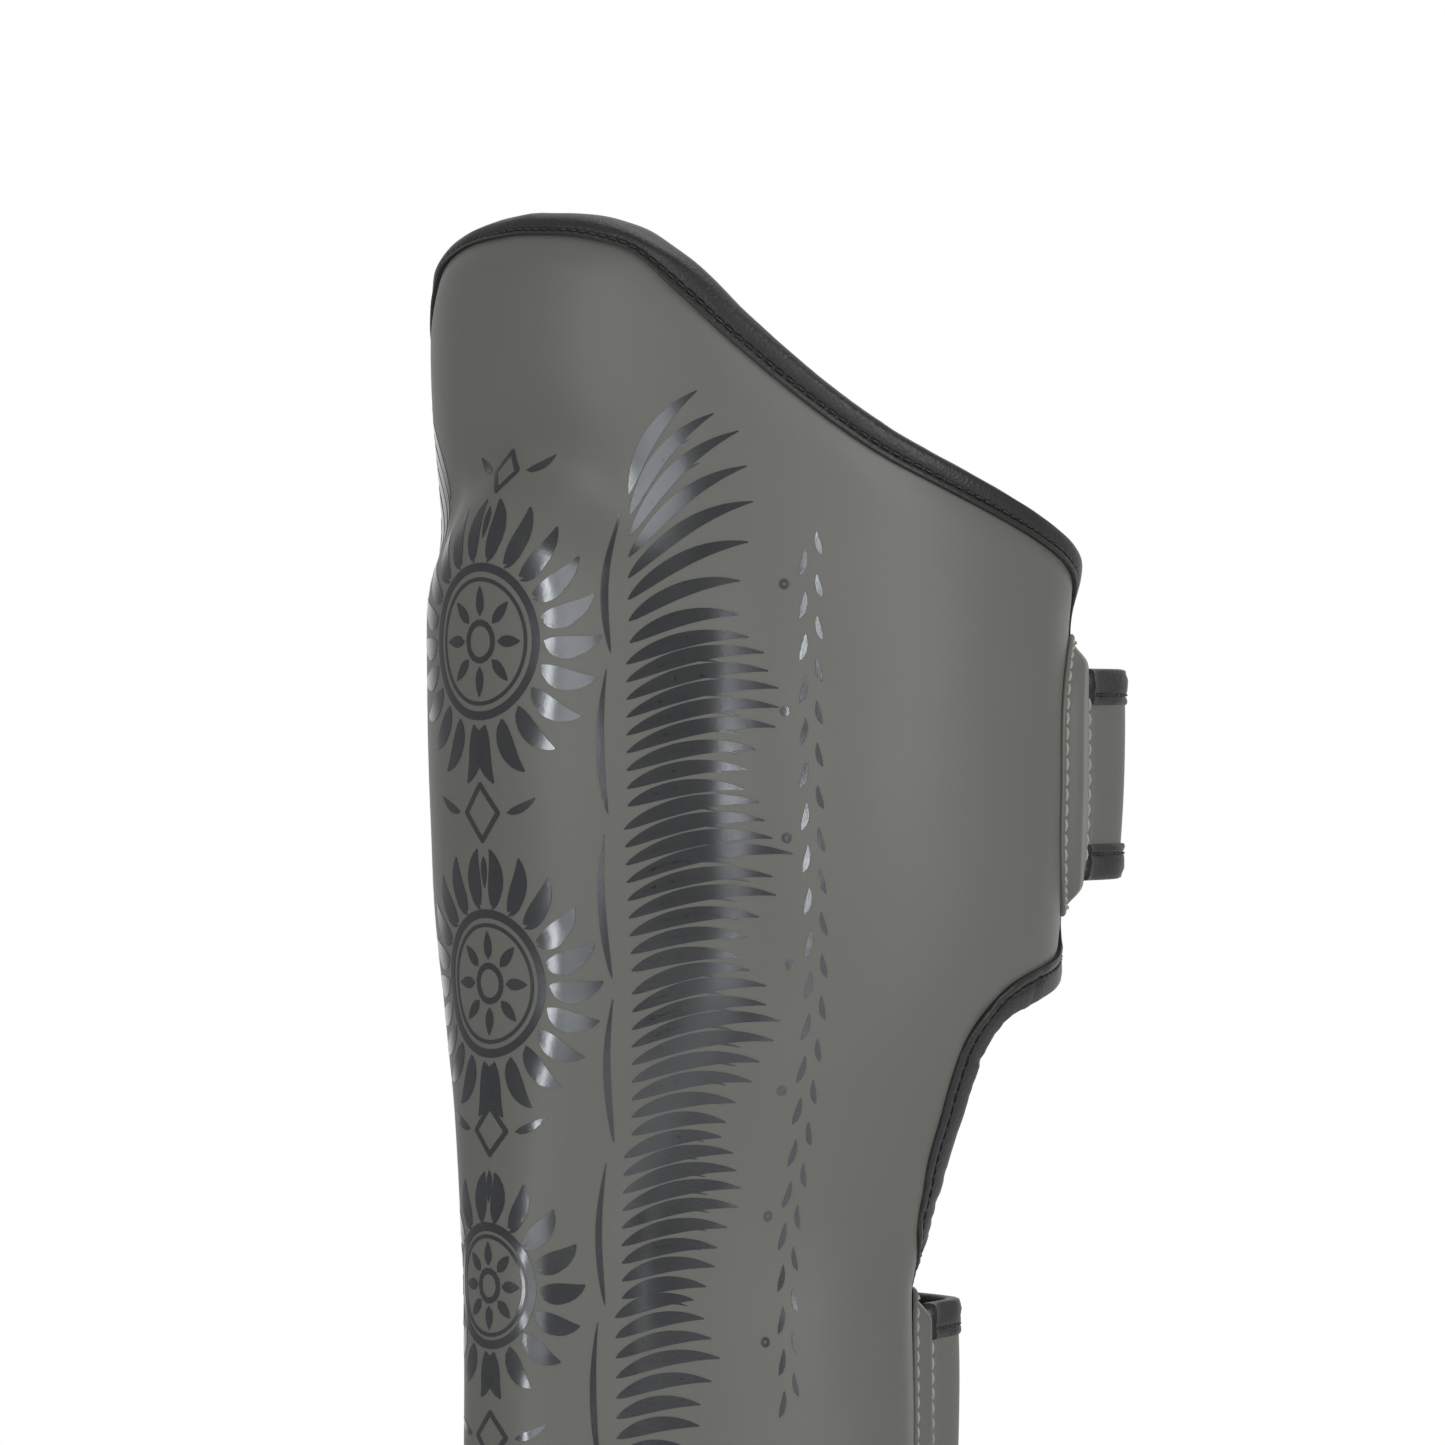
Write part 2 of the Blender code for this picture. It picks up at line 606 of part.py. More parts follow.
def make_sole_strap():
    """An elastic band that runs inside the instep pad's edges and under the foot."""
    edge = INSTEP_EDGE * read(INSTEP, "edge", SOLE_STRAP_PLACE)
    reach = instep_radius(SOLE_STRAP_PLACE) - INSTEP_THICKNESS - SEAT - GAP
    start = edge - SOLE_STRAP_OVERLAP / reach
    outer, inner = [], []
    for share in (-0.5, 0.0, 0.5):
        along = SOLE_STRAP_PLACE + share * SOLE_STRAP_WIDTH / INSTEP_LENGTH
        rings = ([], [])
        for k in range(SOLE_STEPS + 1):
            turn = start + (2 * math.pi - 2 * start) * k / SOLE_STEPS
            short = min(turn, 2 * math.pi - turn)
            sag = SOLE_STRAP_SAG * smooth((short - edge) / SOLE_SAG_TURN)
            rings[0].append(foot_point(reach + sag, turn, along))
            rings[1].append(foot_point(reach + sag - SOLE_STRAP_THICKNESS, turn, along))
        outer.append(rings[0])
        inner.append(rings[1])
    bm = bmesh.new()
    shell(bm, outer, inner)
    return finish(bm, "sole_strap", dark_elastic("sole_strap"))


for old in list(bpy.data.objects):
    bpy.data.objects.remove(old, do_unlink=True)

binding(make_shin_pad(), "shin_binding", BINDING_THICKNESS)
binding(make_instep_pad(), "instep_binding", BINDING_THICKNESS)
make_ankle_link()
make_sole_strap()
for strap_name, level, patch_width, patch_height, stand in (
        ("upper_strap", 0.0, UPPER_PATCH_WIDTH, UPPER_PATCH_HEIGHT, UPPER_STRAP_BULGE),
        ("lower_strap", LOWER_STRAP_Z, LOWER_PATCH_WIDTH, LOWER_PATCH_HEIGHT,
         LOWER_STRAP_BULGE)):
    strap_bindings(make_strap(strap_name, level, patch_width, stand), strap_name, level)
    make_patch(strap_name + "_patch", level, patch_width, patch_height)
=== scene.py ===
import math
import random

import bpy
import numpy as np
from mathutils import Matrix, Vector
from mathutils.bvhtree import BVHTree


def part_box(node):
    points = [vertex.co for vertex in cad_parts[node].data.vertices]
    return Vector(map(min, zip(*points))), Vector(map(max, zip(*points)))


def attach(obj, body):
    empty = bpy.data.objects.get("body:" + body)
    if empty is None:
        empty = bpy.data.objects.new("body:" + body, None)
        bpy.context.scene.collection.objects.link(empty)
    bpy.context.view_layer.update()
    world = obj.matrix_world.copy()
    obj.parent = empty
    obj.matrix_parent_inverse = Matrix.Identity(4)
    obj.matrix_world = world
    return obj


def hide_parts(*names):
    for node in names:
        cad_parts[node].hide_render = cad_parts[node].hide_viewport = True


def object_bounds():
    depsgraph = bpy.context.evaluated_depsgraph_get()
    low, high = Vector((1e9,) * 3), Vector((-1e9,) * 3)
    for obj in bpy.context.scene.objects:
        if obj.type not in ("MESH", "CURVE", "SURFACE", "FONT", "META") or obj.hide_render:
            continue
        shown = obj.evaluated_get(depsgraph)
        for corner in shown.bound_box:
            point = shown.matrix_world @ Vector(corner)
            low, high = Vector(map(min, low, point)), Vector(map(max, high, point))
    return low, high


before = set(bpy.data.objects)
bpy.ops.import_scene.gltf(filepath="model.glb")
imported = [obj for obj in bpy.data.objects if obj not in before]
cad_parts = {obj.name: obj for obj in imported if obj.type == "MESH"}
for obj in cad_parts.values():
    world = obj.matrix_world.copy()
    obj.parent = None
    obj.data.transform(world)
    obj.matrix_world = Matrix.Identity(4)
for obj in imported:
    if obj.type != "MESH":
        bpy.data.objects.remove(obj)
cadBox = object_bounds()
print("frame loaded:", len(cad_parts), "pieces")

# what the frame gives
padLow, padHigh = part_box("shin_pad")
strapLow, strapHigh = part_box("upper_strap")
lowerStrapLow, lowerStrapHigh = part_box("lower_strap")
bottom = padLow.z
frontHeight = padHigh.z - padLow.z
lowerStrapMiddle = (lowerStrapLow.z + lowerStrapHigh.z) / 2
strapWidth = strapHigh.z - strapLow.z

body = dict(
    calfRadius=0.084, sideHeight=0.256, thickness=0.016,
    edgeThickness=0.009, edgeRoll=0.002, rollWidth=0.011,
    ridgeRise=0.0108, ridgeHalfTurn=48, ridgeTop=0.852, ridgeEndDrop=0.056, ridgeEndRamp=0.034,
    ridgeFoot=0.35, ridgeFootRamp=0.040,
    cupRise=0.0042, cupHalfTurn=110, valleyDepth=0.0022, wingRise=0.0020,
    hollowDepth=0.0054, hollowStart=102, hollowRamp=29, patchMargin=0.023,
    notchShare=0.64)

upperPatch = dict(middle=0.0, height=0.073, width=0.048, bulge=0.0170)
lowerPatch = dict(middle=lowerStrapMiddle, height=0.065, width=0.026, bulge=0.0140)

# heights are shares of the pad's front height, the rest shares of the calf radius
bodyTable = dict(
    height=[0.000, 0.141, 0.236, 0.278, 0.323, 0.368, 0.410, 0.455, 0.497, 0.548, 0.608, 1.000],
    radius=[0.705, 0.708, 0.706, 0.720, 0.768, 0.824, 0.884, 0.940, 0.970, 0.991, 1.000, 1.000],
    forward=[0.253, 0.243, 0.250, 0.239, 0.186, 0.128, 0.068, 0.011, -0.008, -0.014, -0.012, 0.000],
    ridgeWidth=[0.69, 0.69, 0.69, 0.70, 0.74, 0.80, 0.90, 0.97, 1.00, 1.00, 1.00, 1.00])

# the wing's back edge: heights are shares of the side height, turns are degrees from the front
edgeTable = dict(
    height=[0.000, 0.030, 0.100, 0.170, 0.240, 0.304, 0.343, 0.368, 0.392, 0.427, 0.463, 0.502,
            0.538, 0.571, 0.600, 0.616, 0.627, 0.645, 0.674, 0.720, 0.775, 0.830, 0.880, 0.925,
            0.957, 0.982, 1.000],
    turn=[140.0, 148.5, 150.0, 150.0, 150.0, 149.5, 145.5, 131.0, 120.0, 115.0, 110.5, 107.5,
          104.5, 102.5, 104.5, 113.5, 126.0, 138.5, 142.5, 143.5, 144.5, 145.0, 145.0, 144.5,
          143.0, 140.5, 136.0])

# the top rim: turns are shares of the upper corner's turn, rises shares of the rim's rise
rimTable = dict(
    turn=[0.00, 0.09, 0.18, 0.26, 0.34, 0.41, 0.47, 0.53, 0.60, 0.68, 0.77, 0.87, 0.94, 1.00],
    rise=[1.000, 0.990, 0.955, 0.870, 0.725, 0.605, 0.515, 0.440, 0.375, 0.310, 0.245, 0.175,
          0.110, 0.000])

ridgeTable = dict(
    across=[0.00, 0.25, 0.42, 0.58, 0.73, 0.83, 0.92, 1.00],
    rise=[1.00, 0.93, 0.76, 0.48, 0.28, 0.18, 0.06, 0.00],
    endDrop=[0.00, 0.30, 0.54, 0.72, 0.88, 0.94, 0.98, 1.00])

cupTable = dict(
    height=[0.780, 0.837, 0.878, 0.922, 0.966, 1.000],
    rise=[0.00, 0.48, 0.82, 1.00, 0.76, -0.80])


# smooth readings of the tables

softReach = 6  # samples either way that a reading is softened over
softKernel = np.hanning(2 * softReach + 3)[1:-1] / np.hanning(2 * softReach + 3).sum()


def makeCurve(places, values, samples=500):
    places, values = np.array(places, float), np.array(values, float)
    steps = np.diff(values) / np.diff(places)
    slopes = np.zeros(len(places))
    for k in range(1, len(steps)):
        a, b = steps[k - 1], steps[k]
        slopes[k] = 0.0 if a * b <= 0 else 2 * a * b / (a + b)
    at = np.linspace(places[0], places[-1], samples)
    k = np.clip(np.searchsorted(places, at, side="right") - 1, 0, len(steps) - 1)
    run = places[k + 1] - places[k]
    t = (at - places[k]) / run
    startSlope = np.where(k == 0, steps[0], slopes[k])
    endSlope = np.where(k == len(steps) - 1, steps[-1], slopes[k + 1])
    read = (values[k] * (1 + 2 * t) * (1 - t) ** 2 + values[k + 1] * t * t * (3 - 2 * t)
            + run * t * (1 - t) * (startSlope * (1 - t) - endSlope * t))
    soft = np.convolve(np.pad(read, softReach, mode="edge"), softKernel, "valid")
    return lambda x: np.interp(x, at, soft)


radiusAt = makeCurve(bodyTable["height"], bodyTable["radius"])
forwardAt = makeCurve(bodyTable["height"], bodyTable["forward"])
ridgeWidthAt = makeCurve(bodyTable["height"], bodyTable["ridgeWidth"])
edgeTurnAt = makeCurve(edgeTable["height"], edgeTable["turn"])
rimRiseAt = makeCurve(rimTable["turn"], rimTable["rise"])
ridgeRiseAt = makeCurve(ridgeTable["across"], ridgeTable["rise"])
endDropAt = makeCurve(ridgeTable["across"], ridgeTable["endDrop"])
cupRiseAt = makeCurve(cupTable["height"], cupTable["rise"])


def smooth(t):
    t = np.clip(t, 0.0, 1.0)
    return t * t * (3 - 2 * t)


def bodyRadius(z):
    return body["calfRadius"] * radiusAt((z - bottom) / frontHeight)


def bodyCentre(z):
    return -body["calfRadius"] * forwardAt((z - bottom) / frontHeight)


def ridgeHeight(turn, z):
    share = (z - bottom) / frontHeight
    across = np.abs(turn) / (math.radians(body["ridgeHalfTurn"]) * ridgeWidthAt(share))
    end = bottom + frontHeight * (body["ridgeTop"] - body["ridgeEndDrop"] * endDropAt(across))
    along = smooth((end - z) / body["ridgeEndRamp"])
    foot = body["ridgeFoot"] + (1 - body["ridgeFoot"]) * smooth((z - bottom) / body["ridgeFootRamp"])
    return body["ridgeRise"] * ridgeRiseAt(across) * (across < 1) * along * foot


def valleyDepth(turn, z):
    across = np.abs(turn) / math.radians(body["ridgeHalfTurn"])
    end = bottom + frontHeight * (body["ridgeTop"] - body["ridgeEndDrop"] * endDropAt(across))
    return (body["valleyDepth"] * np.exp(-((z - end) * 3 / body["ridgeEndRamp"]) ** 2)
            * (1 - smooth(across)))


def patchHollow(turn, z):
    back = smooth((np.abs(turn) - math.radians(body["hollowStart"])) / math.radians(body["hollowRamp"]))
    depth = 0.0
    for spec in (upperPatch, lowerPatch):
        reach = np.abs(z - spec["middle"]) - spec["height"] / 2
        depth = np.maximum(depth, 1 - smooth(reach / body["patchMargin"]))
    return body["hollowDepth"] * back * depth


def baseRadius(turn, z):
    across = ((np.abs(turn) - math.radians(body["ridgeHalfTurn"]))
              / math.radians(edgeTable["turn"][-1] - body["ridgeHalfTurn"]))
    wing = body["wingRise"] * np.sin(math.pi * np.clip(across, 0, 1))
    cup = (body["cupRise"] * cupRiseAt((z - bottom) / frontHeight)
           * (z > bottom + frontHeight * cupTable["height"][0])
           * (1 - smooth(np.abs(turn) / math.radians(body["cupHalfTurn"]))))
    return bodyRadius(z) - valleyDepth(turn, z) - patchHollow(turn, z) + wing + cup


def outerRadius(turn, z):
    return baseRadius(turn, z) + ridgeHeight(turn, z)


def place(radius, turn, z):
    turn, z = np.asarray(turn, float), np.asarray(z, float)
    return np.stack([radius * np.sin(turn), bodyCentre(z) - radius * np.cos(turn), z + 0 * turn], -1)


# the outline of the shin pad on the unrolled surface, as turn and height

def resample(points, count, closed=False):
    points = np.array(points, float)
    if closed:
        points = np.vstack([points, points[:1]])
    scale = np.array([body["calfRadius"] * 0.85, 1.0])
    steps = np.linalg.norm(np.diff(points * scale, axis=0), axis=1)
    along = np.concatenate([[0], np.cumsum(steps)])
    at = np.linspace(0, along[-1], count + 1 if closed else count)
    out = np.stack([np.interp(at, along, points[:, k]) for k in (0, 1)], -1)
    return out[:-1] if closed else out


def outlineHalf():
    upperTurn = math.radians(edgeTable["turn"][-1])
    lowerTurn = math.radians(edgeTable["turn"][0])
    rimRise = frontHeight - body["sideHeight"]
    share = np.linspace(0, 1, 200)
    bottomLine = np.stack([lowerTurn * share, bottom + 0 * share], -1)
    heights = np.linspace(0, 1, 600)
    back = np.stack([np.radians(edgeTurnAt(heights)), bottom + body["sideHeight"] * heights], -1)
    top = np.stack([upperTurn * share, bottom + body["sideHeight"] + rimRise * rimRiseAt(share)], -1)
    return bottomLine, back, top


def coonsHalf(bottomLine, back, top, columns):
    share = np.linspace(0, 1, columns)[None, :]
    notch = bottom + body["sideHeight"] * body["notchShare"]
    climb = np.clip((back[:, 1] - notch) / (back[-1, 1] - notch), 0, 1)[:, None]
    low, high = resample(bottomLine, columns), resample(top, columns)
    lineTurn = (1 - climb) * low[None, :, 0] + climb * high[None, :, 0]
    lineZ = (1 - climb) * low[None, :, 1] + climb * high[None, :, 1]
    turn = lineTurn + (back[:, :1] - lineTurn[:, -1:]) * share
    z = lineZ + (back[:, 1:] - lineZ[:, -1:])
    return turn, z


def mirroredPair(turn, z):
    return (np.concatenate([-turn[:, :0:-1], turn], 1), np.concatenate([z[:, :0:-1], z], 1))


# meshes

def makePiece(name, vertices, faces, materials, materialIndex=None):
    mesh = bpy.data.meshes.new(name)
    mesh.from_pydata([tuple(v) for v in vertices], [], faces)
    mesh.validate()
    for material in materials:
        mesh.materials.append(material)
    if materialIndex is not None:
        mesh.polygons.foreach_set("material_index", materialIndex)
    mesh.shade_smooth()
    piece = bpy.data.objects.new(name, mesh)
    bpy.context.collection.objects.link(piece)
    return piece


def gridFaces(rows, columns, start=0, flip=False, closeRows=False, closeColumns=False):
    faces = []
    for i in range(rows if closeRows else rows - 1):
        for j in range(columns if closeColumns else columns - 1):
            a = start + i * columns + j
            b = start + i * columns + (j + 1) % columns
            c = start + ((i + 1) % rows) * columns + (j + 1) % columns
            d = start + ((i + 1) % rows) * columns + j
            faces.append((a, d, c, b) if flip else (a, b, c, d))
    return faces


def borderOf(rows, columns, start=0):
    low = [start + j for j in range(columns)]
    right = [start + i * columns + columns - 1 for i in range(1, rows)]
    high = [start + (rows - 1) * columns + j for j in range(columns - 2, -1, -1)]
    left = [start + i * columns for i in range(rows - 2, 0, -1)]
    return low + right + high + left


def shellPiece(name, outer, inner, materials, levels=1):
    rows, columns = outer.shape[:2]
    count = rows * columns
    vertices = list(outer.reshape(-1, 3)) + list(inner.reshape(-1, 3))
    outside = gridFaces(rows, columns)
    inside = gridFaces(rows, columns, start=count, flip=True)
    first, second = borderOf(rows, columns), borderOf(rows, columns, start=count)
    side = []
    for k in range(len(first)):
        n = (k + 1) % len(first)
        side.append((first[n], first[k], second[k], second[n]))
    index = [0] * len(outside) + [len(materials) - 1] * len(inside) + [0] * len(side)
    piece = makePiece(name, vertices, outside + inside + side, materials, index)
    if levels:
        soft = piece.modifiers.new("Soften", "SUBSURF")
        soft.levels = soft.render_levels = levels
    return piece


# node maths written as sums

class Wire:
    def __init__(self, tree, socket=None):
        self.tree, self.socket = tree, socket

    def make(self, kind, settings=None, sockets=None, out=0):
        node = self.tree.nodes.new(kind)
        for name, value in (settings or {}).items():
            setattr(node, name, value)
        for name, value in (sockets or {}).items():
            if isinstance(value, Wire):
                self.tree.links.new(value.socket, node.inputs[name])
            else:
                node.inputs[name].default_value = value
        return Wire(self.tree, node.outputs[out])

    def sum(self, operation, first, second):
        return self.make("ShaderNodeMath", {"operation": operation}, {0: first, 1: second})

    def __add__(self, other): return self.sum("ADD", self, other)
    def __radd__(self, other): return self.sum("ADD", other, self)
    def __sub__(self, other): return self.sum("SUBTRACT", self, other)
    def __rsub__(self, other): return self.sum("SUBTRACT", other, self)
    def __mul__(self, other): return self.sum("MULTIPLY", self, other)
    def __rmul__(self, other): return self.sum("MULTIPLY", other, self)

    def blend(self, first, second):
        return self.make("ShaderNodeMix", {"data_type": "RGBA"}, {0: self, 6: first, 7: second}, out=2)


def newMaterial(name, metallic=0.0, specular=0.5, sheen=0.0):
    material = bpy.data.materials.new(name)
    material.use_nodes = True
    shader = material.node_tree.nodes["Principled BSDF"]
    shader.inputs["Metallic"].default_value = metallic
    shader.inputs["Specular IOR Level"].default_value = specular
    shader.inputs["Sheen Weight"].default_value = sheen
    return material, Wire(material.node_tree), shader


def plug(wire, shader, socket):
    wire.tree.links.new(wire.socket, shader.inputs[socket])


def leatherMaterial(name, look):
    material, wire, shader = newMaterial(name, specular=look["specular"], sheen=look.get("sheen", 0.0))
    at = wire.make("ShaderNodeTexCoord", out=3)
    cloud = wire.make("ShaderNodeTexNoise", {}, {"Vector": at, "Scale": look["cloudScale"], "Detail": 4.0})
    pore = wire.make("ShaderNodeTexVoronoi", {"feature": "F1"},
                     {"Vector": at, "Scale": look["grainScale"], "Randomness": 1.0})
    fine = wire.make("ShaderNodeTexNoise", {},
                     {"Vector": at, "Scale": look["grainScale"] * 1.7, "Detail": 3.0, "Roughness": 0.6})
    shade = cloud * 0.7 + fine * 0.3
    light, dark = look["light"], look["dark"]
    plug(shade.blend((*dark, 1), (*light, 1)), shader, "Base Color")
    plug(look["roughness"] + (fine - 0.5) * look["roughnessSpread"] + (cloud - 0.5) * 0.06,
         shader, "Roughness")
    height = pore * 0.6 + fine * 0.4
    plug(wire.make("ShaderNodeBump", {}, {"Strength": look["bump"], "Distance": look["bumpDepth"],
                                          "Height": height}), shader, "Normal")
    return material


looks = dict(
    greyLeather=dict(light=(0.150, 0.152, 0.138), dark=(0.128, 0.130, 0.117), roughness=0.47,
                     roughnessSpread=0.10, specular=0.50, cloudScale=14.0, grainScale=1500.0,
                     bump=0.22, bumpDepth=0.00012),
    blackLeather=dict(light=(0.026, 0.026, 0.026), dark=(0.014, 0.014, 0.014), roughness=0.41,
                      roughnessSpread=0.16, specular=0.5, cloudScale=30.0, grainScale=1100.0,
                      bump=0.8, bumpDepth=0.00022),
    lining=dict(light=(0.040, 0.040, 0.042), dark=(0.022, 0.022, 0.024), roughness=0.85,
                roughnessSpread=0.1, specular=0.2, cloudScale=40.0, grainScale=900.0,
                bump=0.6, bumpDepth=0.0003, sheen=0.15))

greyLeather = leatherMaterial("greyLeather", looks["greyLeather"])
blackLeather = leatherMaterial("blackLeather", looks["blackLeather"])
liningCloth = leatherMaterial("liningCloth", looks["lining"])
print("materials made")


# the camera, the floor and the light

view = dict(turn=50, distance=1.8, metresPerPixel=0.26e-3, imageSize=1445,
            axisPixel=765, levelPixel=775)


def makeCamera():
    turn = math.radians(view["turn"])
    right = Vector((math.cos(turn), math.sin(turn), 0))
    ahead = Vector((-math.sin(turn), math.cos(turn), 0))
    middle = view["imageSize"] / 2
    across = (middle - view["axisPixel"]) * view["metresPerPixel"]
    up = (view["levelPixel"] - middle) * view["metresPerPixel"]
    camera = bpy.data.cameras.new("camera")
    camera.sensor_width = 36
    camera.lens = camera.sensor_width * view["distance"] / (view["imageSize"] * view["metresPerPixel"])
    holder = bpy.data.objects.new("camera", camera)
    bpy.context.collection.objects.link(holder)
    holder.location = right * across - ahead * view["distance"] + Vector((0, 0, up))
    holder.rotation_euler = ahead.to_track_quat("-Z", "Y").to_euler()
    bpy.context.scene.camera = holder
    return ahead


# each light looks at the frame's origin, which is level with the upper strap's middle
lights = dict(
    key=dict(turn=96, height=0.45, distance=1.7, size=(0.8, 1.4), power=12.5),
    front=dict(turn=10, height=0.30, distance=1.8, size=(0.7, 1.4), power=4.5),
    nearStrip=dict(turn=59.5, height=0.0, distance=2.3, size=(0.045, 2.4), power=8.0),
    leftStrip=dict(turn=-8, height=0.0, distance=2.0, size=(0.06, 2.2), power=8.0),
    top=dict(turn=200, height=1.5, distance=0.5, size=(1.2, 1.2), power=7))


def makeLights():
    for name, look in lights.items():
        turn = math.radians(look["turn"])
        area = bpy.data.lights.new(name, "AREA")
        area.shape = "RECTANGLE"
        area.size, area.size_y = look["size"]
        area.energy = look["power"]
        lamp = bpy.data.objects.new(name, area)
        bpy.context.collection.objects.link(lamp)
        lamp.visible_camera = False
        where = Vector((math.sin(turn), -math.cos(turn), 0)) * look["distance"]
        where.z = look["height"]
        lamp.location = where
        lamp.rotation_euler = (-where).to_track_quat("-Z", "Y").to_euler()


def makeWorld(ahead):
    world = bpy.data.worlds.new("world")
    bpy.context.scene.world = world
    world.use_nodes = True
    tree = world.node_tree
    tree.nodes.clear()
    wire = Wire(tree)
    seen = wire.make("ShaderNodeLightPath")
    direction = wire.make("ShaderNodeTexCoord")
    facing = wire.make("ShaderNodeVectorMath", {"operation": "DOT_PRODUCT"},
                       {0: direction, 1: tuple(ahead)}, out=1)
    behind = wire.make("ShaderNodeMapRange", {"interpolation_type": "SMOOTHSTEP"},
                       {"Value": facing, "From Min": worldLook["backdropStart"],
                        "From Max": worldLook["backdropFull"]})
    room = behind * (worldLook["backdrop"] - worldLook["fill"]) + worldLook["fill"]
    strength = seen * (1.0 - room) + room
    glow = wire.make("ShaderNodeBackground", {}, {"Color": (1, 1, 1, 1), "Strength": strength})
    shown = tree.nodes.new("ShaderNodeOutputWorld")
    tree.links.new(glow.socket, shown.inputs["Surface"])


worldLook = dict(fill=0.29, backdrop=1.0, backdropStart=0.72, backdropFull=0.98,
                 floorDrop=0.004, floorRadius=1.25, floorThickness=0.01)


# surfaces that a binding and its stitches follow: a first place in turns and a second in metres

def foldedFace(depth, outer, rimInner, padInner, side):
    if side == 0:
        return outer - body["edgeRoll"] * (1 - smooth(depth / body["rollWidth"]))
    share = smooth(depth / binding["width"])
    return rimInner * (1 - share) + padInner * share


def shinFace(turn, z, depth, side):
    rimInner = baseRadius(turn, z) - body["edgeRoll"] - body["edgeThickness"]
    return foldedFace(depth, outerRadius(turn, z), rimInner, bodyRadius(z) - body["thickness"], side)


instep = dict(length=0.150, radius=0.050, thickness=0.012, crown=0.006, slope=40, drop=0.006,
              halfArc=78)
instepTable = dict(
    along=[0.00, 0.12, 0.35, 0.60, 0.82, 0.95, 1.00],
    radius=[1.00, 1.00, 0.98, 0.98, 0.99, 1.00, 1.00],
    edge=[0.62, 0.86, 1.00, 0.98, 0.88, 0.66, 0.40])
instepRadiusAt = makeCurve(instepTable["along"], instepTable["radius"])
instepEdgeAt = makeCurve(instepTable["along"], instepTable["edge"])


def footPlace(radius, turn, along):
    slope = math.radians(instep["slope"])
    lean = np.array([0, -math.cos(slope), -math.sin(slope)])
    up = np.array([0, -math.sin(slope), math.cos(slope)])
    front = float(bodyCentre(bottom) - bodyRadius(bottom)) - 0.5 * body["ridgeRise"]
    start = np.array([0, front, bottom - instep["drop"]]) - up * instep["radius"]
    turn, along = np.asarray(turn, float), np.asarray(along, float)
    radius = radius + 0 * turn + 0 * along
    return (start + lean * (along + 0 * turn)[..., None] + up * (radius * np.cos(turn))[..., None]
            + np.array([1, 0, 0]) * (radius * np.sin(turn))[..., None])


def footFace(turn, along, depth, side):
    share = along / instep["length"]
    radius = instep["radius"] * instepRadiusAt(share)
    crown = instep["crown"] * np.sin(math.pi * np.clip(share, 0, 1)) * np.cos(turn)
    outer = radius + crown
    rimInner = outer - body["edgeRoll"] - body["edgeThickness"]
    return foldedFace(depth, outer, rimInner, radius - instep["thickness"], side)


surfaces = dict(
    shin=dict(scale=lambda z: bodyRadius(z), face=shinFace, place=place),
    foot=dict(scale=lambda along: instep["radius"] + 0 * along, face=footFace, place=footPlace))

# millimetres in from the edge, then above the pad's face; the inner side mirrors the outer
binding = dict(
    width=0.0062, pitch=0.0033, stitchLength=0.0029, stitchRadius=0.00036, stitchDepth=0.0043,
    lip=[(6.4, -0.6), (6.4, 0.5), (6.3, 0.85), (5.9, 1.1), (5.3, 1.1), (4.8, 0.85), (4.3, 0.45),
         (3.9, 0.85), (3.3, 1.3), (2.4, 1.6), (1.3, 1.8), (0.2, 1.7)],
    rim=[(-0.7, 0.06), (-1.35, 0.22), (-1.65, 0.5), (-1.35, 0.78), (-0.7, 0.94)],
    step=0.0012, soften=5, bendReach=8, rimRise=0.0010, stitchRise=0.0009,
    wrinkle=0.00042, notchSpread=0.85, crestSpread=0.34)


def outlineNormals(outline, surface, soften):
    scale = surface["scale"](outline[:, 1])
    flat = np.stack([outline[:, 0] * scale, outline[:, 1]], -1)
    along = np.roll(flat, -1, 0) - np.roll(flat, 1, 0)
    along /= np.linalg.norm(along, axis=1)[:, None]
    inward = np.stack([-along[:, 1], along[:, 0]], -1)
    kernel = np.hanning(soften * 2 + 3)[1:-1]
    kernel /= kernel.sum()
    padded = np.concatenate([inward[-soften:], inward, inward[:soften]])
    inward = np.stack([np.convolve(padded[:, k], kernel, "valid") for k in (0, 1)], -1)
    inward /= np.linalg.norm(inward, axis=1)[:, None]
    bend = np.sum(inward * (np.roll(along, -1, 0) - np.roll(along, 1, 0)), -1)
    return scale, inward, bend


def shifted(outline, scale, inward, depth):
    first = outline[:, 0] + inward[:, 0] * depth / scale
    return first, outline[:, 1] + inward[:, 1] * depth


def bandSpread(outline):
    turn, height = np.abs(outline[:, 0]), (outline[:, 1] - bottom) / frontHeight
    notch = np.exp(-((height - 0.365) / 0.09) ** 4) * smooth((turn - 1.3) / 0.2)
    crest = smooth((height - 0.955) / 0.03)
    return 1 + binding["notchSpread"] * notch - binding["crestSpread"] * crest


